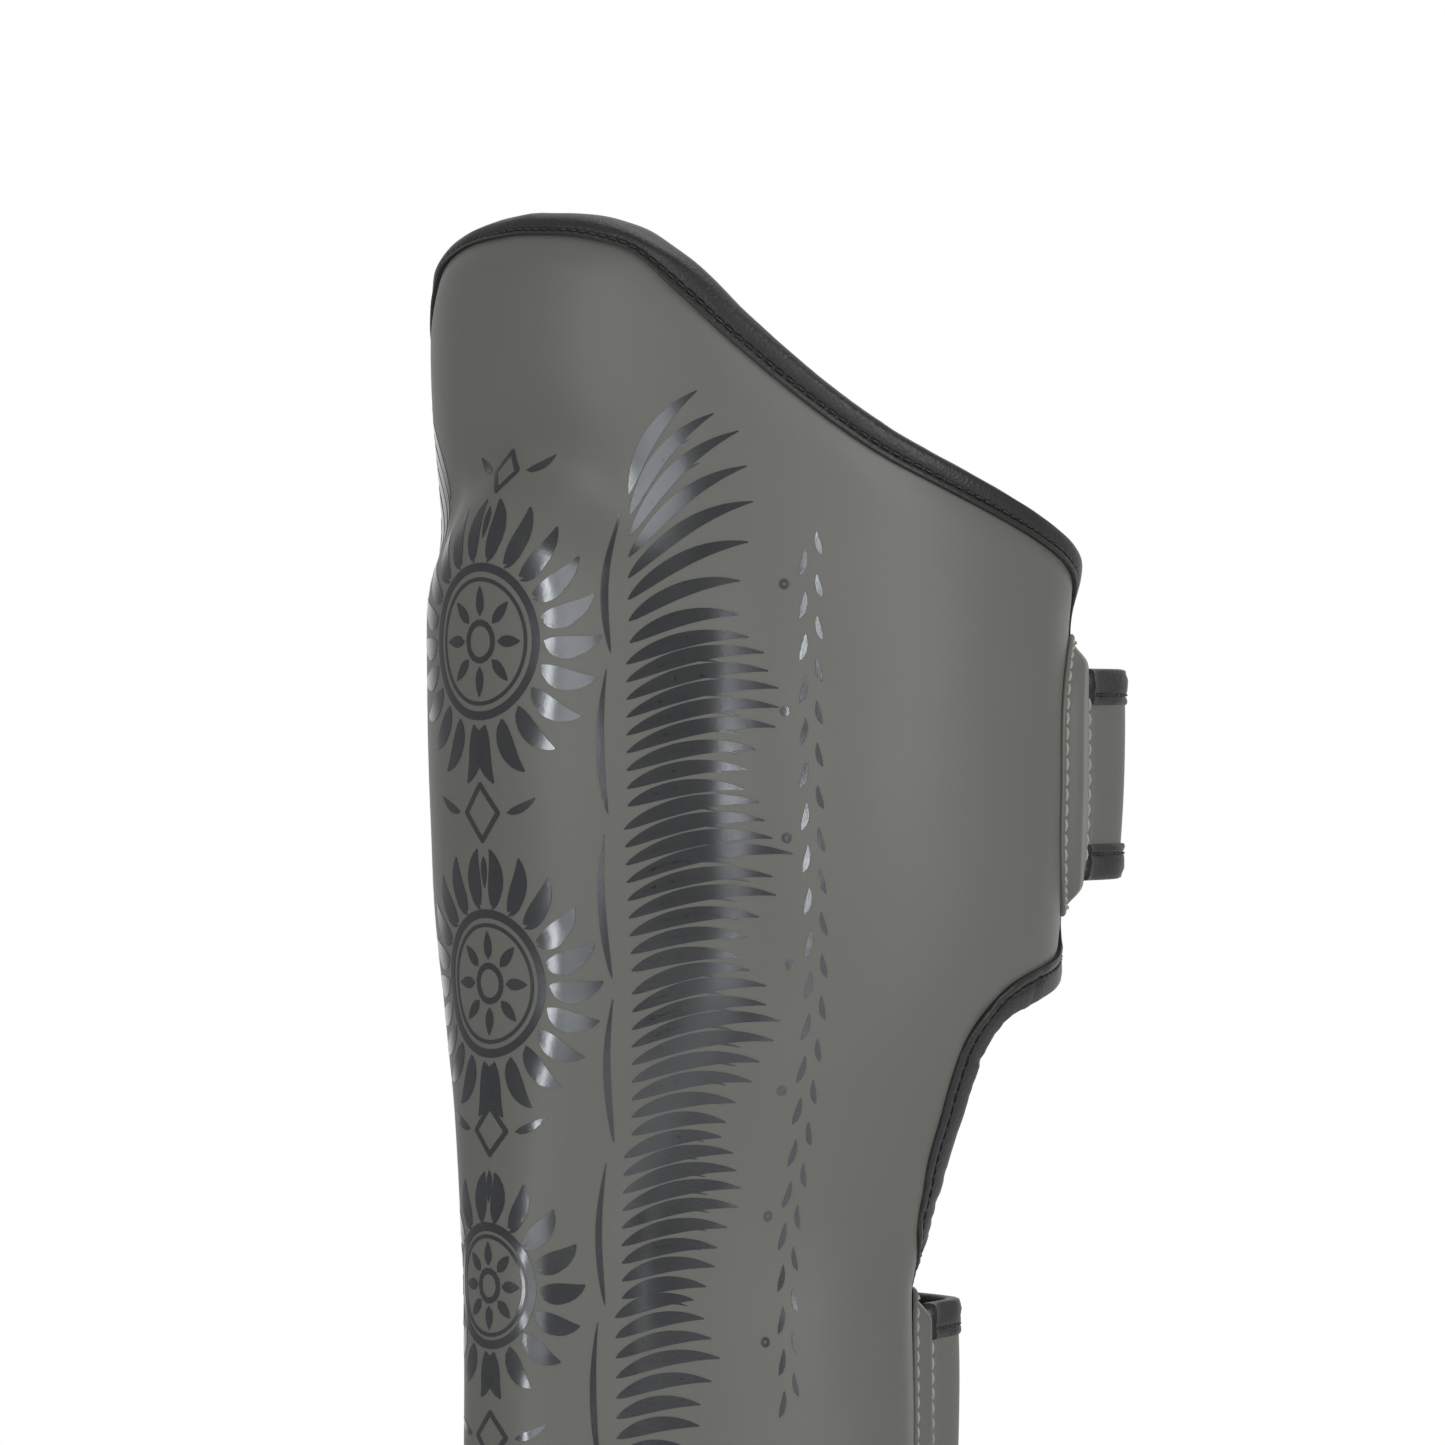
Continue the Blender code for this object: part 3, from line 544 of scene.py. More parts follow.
def bindingPiece(name, outline, surface, wrinkled=0.0):
    scale, inward, bend = outlineNormals(outline, surface, binding["soften"])
    count = len(outline)
    s = np.arange(count) * binding["step"]
    window = 2 * binding["bendReach"] + 1
    bend = np.convolve(np.pad(bend, binding["bendReach"], mode="wrap"), np.ones(window) / window, "valid")
    hollow = smooth(-bend * 9) * wrinkled  # 1 where the edge turns inward, and the leather creases
    rings = []

    def ripple(depth):
        creases = np.maximum(np.sin(s * 830 + depth * 180), 0) ** 6 + np.maximum(
            np.sin(s * 1310 + 1.3 - depth * 260), 0) ** 8 * 0.6
        small = 0.10 * np.sin(s * 310 + depth * 300) + 0.06 * np.sin(s * 730 + 2.0 - depth * 500)
        return binding["wrinkle"] * (small - hollow * creases)

    spread = bandSpread(outline) if wrinkled > 0.5 else np.ones(count)
    for side, sign in ((0, 1), (1, -1)):
        lip = binding["lip"] if side == 0 else binding["lip"][::-1]
        for depth, rise in lip:
            depth, rise = depth / 1000, rise / 1000
            first, second = shifted(outline, scale, inward, depth * spread)
            face = surface["face"](first, second, np.maximum(depth * spread, 0.0), side)
            rings.append(surface["place"](face + sign * (rise + ripple(depth) * (rise > 0)), first, second))
        if side == 0:
            for depth, share in binding["rim"]:
                first, second = shifted(outline, scale, inward, depth / 1000 + ripple(0.0))
                out = surface["face"](first, second, 0.0, 0) + binding["rimRise"]
                low = surface["face"](first, second, 0.0, 1) - binding["rimRise"]
                rings.append(surface["place"](out * (1 - share) + low * share, first, second))
    points = np.stack(rings, 0)
    faces = gridFaces(len(rings), count, closeRows=True, closeColumns=True)
    return makePiece(name, points.reshape(-1, 3), faces, [blackLeather])


def capsules(name, middles, directions, ups, length, radius, material, sides=6):
    vertices, faces = [], []
    ringShares = [(-1.0, 0.35, -0.9), (-0.82, 0.85, -0.2), (0.0, 1.0, 0.35), (0.82, 0.85, -0.2),
                  (1.0, 0.35, -0.9)]
    for middle, direction, up in zip(middles, directions, ups):
        direction = direction / np.linalg.norm(direction)
        up = up - direction * np.dot(up, direction)
        up = up / np.linalg.norm(up)
        across = np.cross(direction, up)
        start = len(vertices)
        for along, girth, sink in ringShares:
            centre = middle + direction * (length / 2 * along) + up * (radius * sink)
            for k in range(sides):
                angle = 2 * math.pi * k / sides
                vertices.append(centre + (across * math.cos(angle) + up * math.sin(angle)) * radius * girth)
        for ring in range(len(ringShares) - 1):
            for k in range(sides):
                a, b = start + ring * sides + k, start + ring * sides + (k + 1) % sides
                faces.append((a, b, b + sides, a + sides))
        faces.append(tuple(start + k for k in range(sides))[::-1])
        faces.append(tuple(start + (len(ringShares) - 1) * sides + k for k in range(sides)))
    return makePiece(name, vertices, faces, [material])


def seamStitches(name, outline, surface, material):
    scale, inward = outlineNormals(outline, surface, binding["soften"])[:2]
    spread = bandSpread(outline) if surface is surfaces["shin"] else 1.0
    depth = binding["stitchDepth"] * spread
    first, second = shifted(outline, scale, inward, depth)
    face = surface["face"](first, second, depth, 0) + binding["stitchRise"]
    line = surface["place"](face, first, second)
    over = surface["place"](face + 0.001, first, second)
    steps = np.linalg.norm(np.diff(np.vstack([line, line[:1]]), axis=0), axis=1)
    along = np.concatenate([[0], np.cumsum(steps)])
    count = int(along[-1] / binding["pitch"])
    at = np.linspace(0, along[-1], count, endpoint=False)
    closedLine, closedOver = np.vstack([line, line[:1]]), np.vstack([over, over[:1]])

    def readLine(where, points):
        return np.stack([np.interp(where % along[-1], along, points[:, k]) for k in range(3)], -1)

    middles = readLine(at, closedLine)
    directions = readLine(at + 0.001, closedLine) - readLine(at - 0.001, closedLine)
    ups = readLine(at, closedOver) - middles
    return capsules(name, middles, directions, ups, binding["stitchLength"], binding["stitchRadius"],
                    material)


def outlineDistance(first, second, outline, surface):
    scale = surface["scale"]
    flat = np.stack([first * scale(second), second], -1).reshape(-1, 2)
    edge = np.stack([outline[:, 0] * scale(outline[:, 1]), outline[:, 1]], -1)
    far = np.empty(len(flat))
    batch = 2000  # points at a time, to spare memory
    for k in range(0, len(flat), batch):
        apart = flat[k:k + batch, None, :] - edge[None, :, :]
        far[k:k + batch] = np.sqrt((apart ** 2).sum(-1)).min(-1)
    return far.reshape(np.shape(first))


def fullOutline(step):
    low, back, top = outlineHalf()
    half = np.vstack([low, back[1:], top[::-1][1:]])
    whole = np.vstack([half, half[::-1][1:-1] * [-1, 1]])
    length = 1.04  # metres round the edge, which sets the number of points
    return resample(whole, int(length / step), closed=True)


pinch = dict(depth=0.0006, inset=0.0070, width=0.0014)  # a pad is drawn in along its binding


def pinched(depth):
    return pinch["depth"] * np.exp(-((depth - pinch["inset"]) / pinch["width"]) ** 2)


def makeShinPad():
    low, back, top = outlineHalf()
    back = resample(back, padLook["rows"])
    turn, z = coonsHalf(low, back, top, padLook["columns"])
    turn, z = mirroredPair(turn, z)
    depth = outlineDistance(turn, z, fullOutline(binding["step"]), surfaces["shin"])
    underPatch = patchHollow(turn, z) / body["hollowDepth"]
    inside = smooth((depth - padLook["flatEdge"]) / padLook["flatRun"]) * (1 - smooth(underPatch * 3))
    soft = (np.sin(turn * 5.1 + z * 37 + 0.6) * np.sin(z * 61 - turn * 2.3 + 1.1) * 0.5
            + np.sin(turn * 9.7 - z * 88 + 2.0) * 0.25 + np.sin(z * 150 + turn * 13) * 0.10)
    fold = np.zeros_like(turn)
    for crease in padLook["creases"]:
        startTurn, startZ, endTurn, endZ, deep, wide = crease
        a = np.array([math.radians(startTurn) * body["calfRadius"], startZ])
        b = np.array([math.radians(endTurn) * body["calfRadius"], endZ])
        for sign in (1, -1):
            p = np.stack([sign * turn * body["calfRadius"], z], -1) - a
            share = np.clip((p @ (b - a)) / ((b - a) @ (b - a)), 0, 1)
            aside = np.linalg.norm(p - share[..., None] * (b - a), axis=-1)
            fold += deep * np.exp(-(aside / wide) ** 2) * np.sin(math.pi * np.clip(share, 0.08, 0.92))
    outer = (shinFace(turn, z, depth, 0) - pinched(depth)
             + inside * (padLook["softness"] * soft - fold) + padLook["plump"] * inside)
    inner = shinFace(turn, z, depth, 1) + inside * padLook["innerSoftness"] * soft
    return shellPiece("shinPadSoft", place(outer, turn, z), place(inner, turn, z),
                      [greyLeather, liningCloth])


# creases: turn and height where each starts and ends, its depth and its width
padLook = dict(rows=100, columns=52, softness=0.0004, innerSoftness=0.0003, plump=0.0002,
               flatEdge=0.006, flatRun=0.02, creases=[
                   (-4, 0.091, 17, 0.073, 0.0020, 0.0075), (14, 0.077, 29, 0.057, 0.0015, 0.0065),
                   (124, 0.012, 108, -0.068, 0.0010, 0.010), (58, 0.040, 61, -0.024, 0.0007, 0.006)])

shinPad = makeShinPad()
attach(shinPad, "root")
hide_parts("shin_pad")
bindingOutline = fullOutline(binding["step"])
shinBinding = bindingPiece("shinBindingLeather", bindingOutline, surfaces["shin"], wrinkled=1.0)
shinStitches = seamStitches("shinBindingStitches", bindingOutline, surfaces["shin"], blackLeather)
for piece in (shinBinding, shinStitches):
    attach(piece, "root")
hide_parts("shin_binding")
print("shin pad made")


# the instep pad, the ankle link and the sole strap

def instepOutline(step):
    share = np.linspace(0, 1, 200)
    right = np.stack([math.radians(instep["halfArc"]) * instepEdgeAt(share), instep["length"] * share], -1)
    low = np.stack([right[0, 0] * np.linspace(0, 1, 60), np.zeros(60)], -1)
    top = np.stack([right[-1, 0] * np.linspace(1, 0, 60), np.full(60, instep["length"])], -1)
    half = np.vstack([low, right[1:], top[1:]])
    whole = np.vstack([half, half[::-1][1:-1] * [-1, 1]])
    flat = whole * [instep["radius"], 1]
    steps = np.linalg.norm(np.diff(np.vstack([flat, flat[:1]]), axis=0), axis=1)
    along = np.concatenate([[0], np.cumsum(steps)])
    at = np.linspace(0, along[-1], int(along[-1] / step), endpoint=False)
    closed = np.vstack([flat, flat[:1]])
    flat = np.stack([np.interp(at, along, closed[:, k]) for k in (0, 1)], -1)
    wide = np.concatenate([flat[-softReach:], flat, flat[:softReach]])
    flat = np.stack([np.convolve(wide[:, k], softKernel, "valid") for k in (0, 1)], -1)
    return flat / [instep["radius"], 1]


instepLook = dict(rows=54, columns=45, softness=0.0005, flatEdge=0.006, flatRun=0.015)


def makeInstepPad():
    share = np.linspace(0.004, 0.996, instepLook["rows"])[:, None]
    limit = math.radians(instep["halfArc"]) * instepEdgeAt(share)
    turn = limit * np.linspace(-0.995, 0.995, instepLook["columns"])[None, :]
    along = instep["length"] * share + 0 * turn
    depth = outlineDistance(turn, along, instepOutline(binding["step"]), surfaces["foot"])
    inside = smooth((depth - instepLook["flatEdge"]) / instepLook["flatRun"])
    soft = np.sin(turn * 3.1 + along * 70) * np.sin(along * 95 - turn * 2.0 + 0.5)
    outer = footFace(turn, along, depth, 0) - pinched(depth) + inside * instepLook["softness"] * soft
    inner = footFace(turn, along, depth, 1)
    return shellPiece("instepPadSoft", footPlace(outer, turn, along), footPlace(inner, turn, along),
                      [greyLeather, liningCloth])


instepPad = makeInstepPad()
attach(instepPad, "root")
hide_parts("instep_pad")
instepEdge = instepOutline(binding["step"])
instepBinding = bindingPiece("instepBindingLeather", instepEdge, surfaces["foot"], wrinkled=0.2)
instepStitches = seamStitches("instepBindingStitches", instepEdge, surfaces["foot"], blackLeather)
for piece in (instepBinding, instepStitches):
    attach(piece, "root")
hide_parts("instep_binding")

gap = 0.0003   # clearance between pieces that touch
seat = 0.0020  # from a pad's face to a piece that lies over its binding
link = dict(width=0.052, thickness=0.0020, overlap=0.022, columns=24)


def makeAnkleLink():
    shinReach = float(bodyRadius(bottom)) - body["thickness"] - seat
    footReach = instep["radius"] * float(instepRadiusAt(0.0)) - instep["thickness"] - seat
    share = np.linspace(-1, 1, link["columns"] + 1)
    sides = []
    for rise in (0.0, -link["thickness"]):
        shin, foot = shinReach + rise, footReach + rise
        half = link["width"] / 2
        rows = [place(shin, share * half / shinReach, z)
                for z in np.linspace(bottom + link["overlap"], bottom, 8)]
        over = footPlace(foot, share * half / footReach, np.zeros_like(share))
        rows.append((rows[-1] + over) / 2 + np.array([0, 0, -instep["drop"] / 4]))
        rows.append(over)
        rows += [footPlace(foot, share * half / footReach, np.full_like(share, along))
                 for along in np.linspace(0, link["overlap"], 8)[1:]]
        sides.append(np.stack(rows, 0))
    return shellPiece("ankleLinkLeather", sides[0], sides[1], [blackLeather])


soleStrap = dict(width=0.038, thickness=0.0018, place=0.42, overlap=0.020, sag=0.008, sagTurn=60,
                 ribs=9, ribDepth=0.0003)


def makeSoleStrap():
    spot = soleStrap["place"]
    edge = math.radians(instep["halfArc"]) * float(instepEdgeAt(spot))
    reach = instep["radius"] * float(instepRadiusAt(spot)) - instep["thickness"] - seat - gap
    start = edge - soleStrap["overlap"] / reach
    turn = np.linspace(start, 2 * math.pi - start, 90)[None, :]
    level = np.linspace(-0.5, 0.5, 37)[:, None]
    along = spot * instep["length"] + level * soleStrap["width"] + 0 * turn
    short = np.minimum(turn, 2 * math.pi - turn)
    sag = soleStrap["sag"] * smooth((short - edge) / math.radians(soleStrap["sagTurn"]))
    rib = soleStrap["ribDepth"] * (np.cos(level * 2 * math.pi * soleStrap["ribs"]) - 1) / 2
    outer = reach + sag + rib
    inner = reach + sag - soleStrap["thickness"] - rib
    return shellPiece("soleStrapElastic", footPlace(outer, turn + 0 * level, along),
                      footPlace(inner, turn + 0 * level, along), [elastic], levels=0)


elastic = leatherMaterial("elastic", dict(looks["lining"], light=(0.034, 0.034, 0.036), grainScale=700.0))
for piece, node, slot in ((makeAnkleLink(), "ankle_link", "black_leather"),
                          (makeSoleStrap(), "sole_strap", "black_elastic")):
    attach(piece, "root")
    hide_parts(node)
print("instep pad made")


# the straps, their bound edges and the patches over their sewn ends

strap = dict(thickness=0.0024, bindingThickness=0.0010, bulgeTurn=18, tongue=0.38, overlap=0.062,
             crown=0.0005, wave=0.0003, sink=0.0014, sinkStart=1.7, rimRise=0.0009, stitchIn=0.0056)


def strapEdgeTurn(spec):
    return math.radians(float(edgeTurnAt((spec["middle"] - bottom) / body["sideHeight"])))


def strapTurns(spec, free=False, count=130):
    edge, radius = strapEdgeTurn(spec), float(bodyRadius(spec["middle"]))
    start = edge - strap["tongue"] * spec["width"] / radius
    if free:
        start = edge + 4 * gap / radius
    end = 2 * math.pi - edge + strap["overlap"] / radius
    return np.linspace(start, end, count)


def strapPlace(spec, turn, z, rise):
    edge, radius = strapEdgeTurn(spec), float(bodyRadius(spec["middle"]))
    short = np.minimum(turn, 2 * math.pi - turn)
    lift = (2 * gap + strap["bindingThickness"]) * smooth((turn - edge) * radius / (4 * gap))
    away = short - edge
    bulge = spec["bulge"] * smooth(away / math.radians(strap["bulgeTurn"]))
    sink = strap["sink"] * smooth(-away * radius / binding["width"] - strap["sinkStart"])
    offset = seat + lift + np.where(away > 0, bulge, -sink)
    reach = outerRadius(np.minimum(short, edge), z) + offset + rise
    centre = float(bodyCentre(spec["middle"]))
    return np.stack([reach * np.sin(turn), centre - reach * np.cos(turn), z + 0 * turn], -1)


def makeStrap(name, spec):
    turn = strapTurns(spec)[None, :]
    half = strapWidth / 2
    level = np.linspace(-1, 1, 19)[:, None]
    z = spec["middle"] + half * level + 0 * turn
    crown = strap["crown"] * (1 - np.abs(level) ** 4)
    wave = strap["wave"] * np.sin(turn * 9 + level * 2)
    outer = strapPlace(spec, turn + 0 * level, z, strap["thickness"] + crown + wave)
    inner = strapPlace(spec, turn + 0 * level, z, 0.0)
    return shellPiece(name, outer, inner, [greyLeather])


# millimetres in from the edge, then above the strap's face, or for the rim a share of the way down
strapLip = [(8.2, 0.5), (8.2, 0.75), (7.8, 1.15), (7.0, 1.30), (6.2, 1.2), (5.8, 0.75), (5.4, 0.75),
            (5.0, 1.2), (3.6, 1.35), (1.6, 1.4), (0.2, 1.15)]
strapRim = [(-0.8, 0.02), (-1.2, 0.25), (-1.3, 0.5), (-1.2, 0.75), (-0.8, 0.98)]


def makeStrapEdging(name, spec):
    turn = strapTurns(spec, free=True, count=150)
    half = strapWidth / 2
    vertices, faces = [], []
    for end in (1, -1):
        rings = []
        for side in (0, 1):
            for inset, rise in (strapLip if side == 0 else strapLip[::-1]):
                z = spec["middle"] + end * (half - inset / 1000) + 0 * turn
                ripple = 0.00012 * np.sin(turn * 31 + inset) + 0.0001 * np.sin(turn * 67 + 2 * inset)
                height = strap["thickness"] + rise / 1000 + ripple if side == 0 else -rise / 1000 * 0.9
                rings.append(strapPlace(spec, turn, z, height))
            if side == 0:
                for inset, share in strapRim:
                    z = spec["middle"] + end * (half - inset / 1000) + 0 * turn
                    top, low = strap["thickness"] + strap["rimRise"], -strap["rimRise"]
                    rings.append(strapPlace(spec, turn, z, top * (1 - share) + low * share))
        points = np.stack(rings, 0)
        start = len(vertices)
        vertices += list(points.reshape(-1, 3))
        count = len(turn)
        faces += gridFaces(len(rings), count, start=start, flip=end < 0, closeRows=True)
        for station in (0, count - 1):
            loop = [start + k * count + station for k in range(len(rings))]
            faces.append(tuple(loop if (station == 0) == (end > 0) else loop[::-1]))
    return makePiece(name, vertices, faces, [blackLeather])


def strapEdgeStitches(name, spec):
    middles, directions, ups = [], [], []
    turn = strapTurns(spec, free=True, count=150)
    half = strapWidth / 2
    for end in (-1, 1):
        z = spec["middle"] + end * (half - strap["stitchIn"]) + 0 * turn
        line = strapPlace(spec, turn, z, strap["thickness"] + strap["rimRise"])
        over = strapPlace(spec, turn, z, strap["thickness"] + strap["rimRise"] + 0.001)
        middle, direction, up = alongLine(line, over, binding["pitch"])
        middles += middle
        directions += direction
        ups += up
    return capsules(name, middles, directions, ups, binding["stitchLength"], binding["stitchRadius"],
                    blackLeather)


def alongLine(line, over, pitch):
    steps = np.linalg.norm(np.diff(line, axis=0), axis=1)
    along = np.concatenate([[0], np.cumsum(steps)])
    at = np.arange(pitch / 2, along[-1] - pitch / 2, pitch)

    def readLine(where, points):
        return np.stack([np.interp(where, along, points[:, k]) for k in range(3)], -1)

    middles = readLine(at, line)
    directions = readLine(at + pitch / 4, line) - readLine(at - pitch / 4, line)
    ups = readLine(at, over) - middles
    return list(middles), list(directions), list(ups)


patch = dict(rows=56, columns=30, corner=3.4, endShare=0.985, leather=0.0010, border=0.0016,
             swell=0.0034, swellStart=0.0030, swellRun=0.0052, stitchIn=0.0022, stitchRadius=0.00048,
             stitchLength=0.0034, stitchRise=0.00015, pitch=0.0039, groove=0.00035, grooveWidth=0.0011,
             under=0.0016, boxReach=0.62, boxInset=0.30)


def patchReach(spec, level):
    corner = patch["corner"]
    return spec["width"] * (1 - (patch["endShare"] * np.abs(level)) ** corner) ** (1 / corner)


def patchFace(spec, level, fromFront):
    edge, radius = strapEdgeTurn(spec), float(bodyRadius(spec["middle"]))
    z = spec["middle"] + spec["height"] / 2 * level
    turn = edge - (patchReach(spec, level) - fromFront) / radius
    fromEnd = spec["height"] / 2 * (1 - np.abs(level))
    depth = np.minimum(fromFront, fromEnd)
    swell = patch["swell"] * smooth((depth - patch["swellStart"]) / patch["swellRun"]) ** 0.7
    groove = patch["groove"] * np.exp(-((depth - patch["stitchIn"]) / patch["grooveWidth"]) ** 2)
    rise = patch["leather"] * smooth((depth + gap) / patch["border"]) ** 0.5 + swell - groove
    return turn, z, outerRadius(turn, z) + gap, rise


def patchPlace(spec, turn, z, radius):
    centre = float(bodyCentre(spec["middle"]))
    return np.stack([radius * np.sin(turn), centre - radius * np.cos(turn), z + 0 * turn], -1)


def makePatch(name, spec):
    level = np.sin(np.linspace(-1, 1, patch["rows"]) * math.pi / 2)[:, None]
    share = (np.linspace(0, 1, patch["columns"])[None, :]) ** 1.5
    fromFront = patchReach(spec, level) * share
    turn, z, low, rise = patchFace(spec, level + 0 * share, fromFront)
    outer = patchPlace(spec, turn, z, low + rise)
    inner = patchPlace(spec, turn, z, low + np.maximum(rise - patch["under"], -0.0004))
    return shellPiece(name, outer, inner, [greyLeather])


def patchStitches(name, spec):
    inset = patch["stitchIn"]
    levelEdge = 1 - 2 * inset / spec["height"]
    level = np.sin(np.linspace(-1, 1, 240) * math.pi / 2) * levelEdge
    border = (level, inset + 0 * level)
    lines = [border]
    for end in (-1, 1):
        reach = float(patchReach(spec, np.array(levelEdge)))
        fromFront = np.linspace(inset, reach - 0.001, 40)
        lines.append((end * levelEdge + 0 * fromFront, fromFront))
    box = np.linspace(-patch["boxReach"], patch["boxReach"], 60)
    back = patchReach(spec, box) - spec["width"] * patch["boxInset"]
    lines.append((box, back))
    middles, directions, ups = [], [], []
    for line in lines:
        turn, z, low, rise = patchFace(spec, *line)
        seam = low + rise + patch["stitchRise"]
        found = alongLine(patchPlace(spec, turn, z, seam), patchPlace(spec, turn, z, seam + 0.001),
                          patch["pitch"])
        middles += found[0]
        directions += found[1]
        ups += found[2]
    return capsules(name, middles, directions, ups, patch["stitchLength"], patch["stitchRadius"], thread)


thread = leatherMaterial("paleThread", dict(light=(0.42, 0.44, 0.38), dark=(0.33, 0.35, 0.30), roughness=0.7,
                                            roughnessSpread=0.1, specular=0.3, cloudScale=60.0,
                                            grainScale=2500.0, bump=0.3, bumpDepth=0.0001))
for node, label, spec in (("upper_strap", "upperStrap", upperPatch),
                          ("lower_strap", "lowerStrap", lowerPatch)):
    strapPiece = makeStrap(label + "Leather", spec)
    edging = makeStrapEdging(label + "Edging", spec)
    edgeStitches = strapEdgeStitches(label + "EdgingStitches", spec)
    patchPiece = makePatch(label + "Patch", spec)
    patchThread = patchStitches(label + "PatchStitches", spec)
    for piece in (strapPiece, edging, edgeStitches, patchPiece, patchThread):
        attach(piece, "root")
        "black_leather" if piece in (edging, edgeStitches) else "grey_leather"
    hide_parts(node)
    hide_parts(node + "_top_binding", node + "_bottom_binding")
    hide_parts(node + "_patch")
print("straps made")


# the foil ornament: leaves and rings laid on the shin bar in unrolled metres

foilLook = dict(colour=(0.135, 0.142, 0.150), roughness=0.20, lift=0.00012, step=0.0016,
                mapRadius=0.090, rayStart=0.16, rayLength=0.14)


class Foil:
    def __init__(self, carrier):
        graph = bpy.context.evaluated_depsgraph_get()
        self.tree = BVHTree.FromObject(carrier, graph)
        self.vertices, self.faces = [], []

    def onSkin(self, across, z):
        scale = float(bodyRadius(z)) / body["calfRadius"]
        turn = across / (foilLook["mapRadius"] * (0.35 + 0.65 * scale))
        centre = Vector((0.0, float(bodyCentre(z)), z))
        out = Vector((math.sin(turn), -math.cos(turn), 0.0))
        spot, normal = self.tree.ray_cast(centre + out * foilLook["rayStart"], -out,
                                          foilLook["rayLength"])[:2]
        if spot is None:
            spot, normal = centre + out * float(outerRadius(turn, z)), out
        return spot + normal * foilLook["lift"]

    def ribbon(self, line, widths, both=True):
        for sign in ((1, -1) if both else (1,)):
            rings = []
            for k, (x, z) in enumerate(line):
                x0, z0 = line[max(k - 1, 0)]
                x1, z1 = line[min(k + 1, len(line) - 1)]
                length = math.hypot(x1 - x0, z1 - z0) or 1.0
                sideX, sideZ = -(z1 - z0) / length, (x1 - x0) / length
                half = widths[k] / 2
                ring = []
                for share in (-1, 0, 1):
                    ring.append(len(self.vertices))
                    self.vertices.append(self.onSkin(sign * (x + sideX * half * share),
                                                     z + sideZ * half * share))
                rings.append(ring)
            for low, high in zip(rings, rings[1:]):
                for j in (0, 1):
                    face = (low[j], low[j + 1], high[j + 1], high[j])
                    self.faces.append(face if sign > 0 else face[::-1])

    def leaf(self, x, z, heading, length, width, bend=0.0, both=True, tip=0.08):
        count = max(5, int(length / foilLook["step"]))
        line, widths = [(x, z)], []
        for k in range(count):
            angle = math.radians(heading + bend * (k + 0.5) / count)
            px, pz = line[-1]
            line.append((px + math.cos(angle) * length / count, pz + math.sin(angle) * length / count))
        for k in range(count + 1):
            share = k / count
            widths.append(width * max(math.sin(math.pi * share ** 0.8) ** 0.75, tip))
        self.ribbon(line, widths, both)

    def ring(self, x, z, radius, width, both=False):
        count = max(12, int(math.radians(360) * radius / foilLook["step"]))
        angles = [math.radians(360 * k / count) for k in range(count + 1)]
        line = [(x + radius * math.cos(angle), z + radius * math.sin(angle)) for angle in angles]
        self.ribbon(line, [width] * len(line), both)

    def lozenge(self, x, z, wide, tall, width):
        corners = [(x + wide, z), (x, z + tall), (x - wide, z), (x, z - tall)]
        for a, b in zip(corners, corners[1:] + corners[:1]):
            line = [(a[0] + (b[0] - a[0]) * t, a[1] + (b[1] - a[1]) * t) for t in np.linspace(-0.04, 1.04, 6)]
            self.ribbon(line, [width] * len(line), False)

    def finish(self, name, material):
        return makePiece(name, self.vertices, self.faces, [material])


# medallions: height, radius of the flame ring and its number of flames on one half
medallions = [dict(z=0.034, radius=0.034, flames=11), dict(z=-0.052, radius=0.032, flames=11),
              dict(z=-0.128, radius=0.027, flames=9)]
# wings: where a fan of stripes leaves the middle, its first and last heading, its count and length
wings = [dict(x=0.036, z=0.050, first=52, last=14, count=8, length=0.042, bend=-44),
         dict(x=0.035, z=0.010, first=10, last=6, count=9, length=0.043, bend=-40),
         dict(x=0.034, z=-0.031, first=9, last=5, count=9, length=0.043, bend=-40),
         dict(x=0.034, z=-0.072, first=9, last=5, count=9, length=0.041, bend=-40),
         dict(x=0.032, z=-0.113, first=8, last=4, count=9, length=0.037, bend=-38),
         dict(x=0.030, z=-0.153, first=7, last=3, count=8, length=0.032, bend=-36)]
lozenges = [dict(low=-0.172, high=-0.160, wide=0.006), dict(low=-0.095, high=-0.083, wide=0.006),
            dict(low=-0.016, high=-0.002, wide=0.006), dict(low=0.072, high=0.082, wide=0.0045)]
# rows of small leaves, outside the wings and round the foot of the pad
sideRow = dict(count=21, top=0.050, pitch=0.0105, dots=0.0825, inner=0.0865, outer=0.0925)
footRow = dict(count=9, start=0.004, pitch=0.0084, upper=-0.186, lower=-0.192)


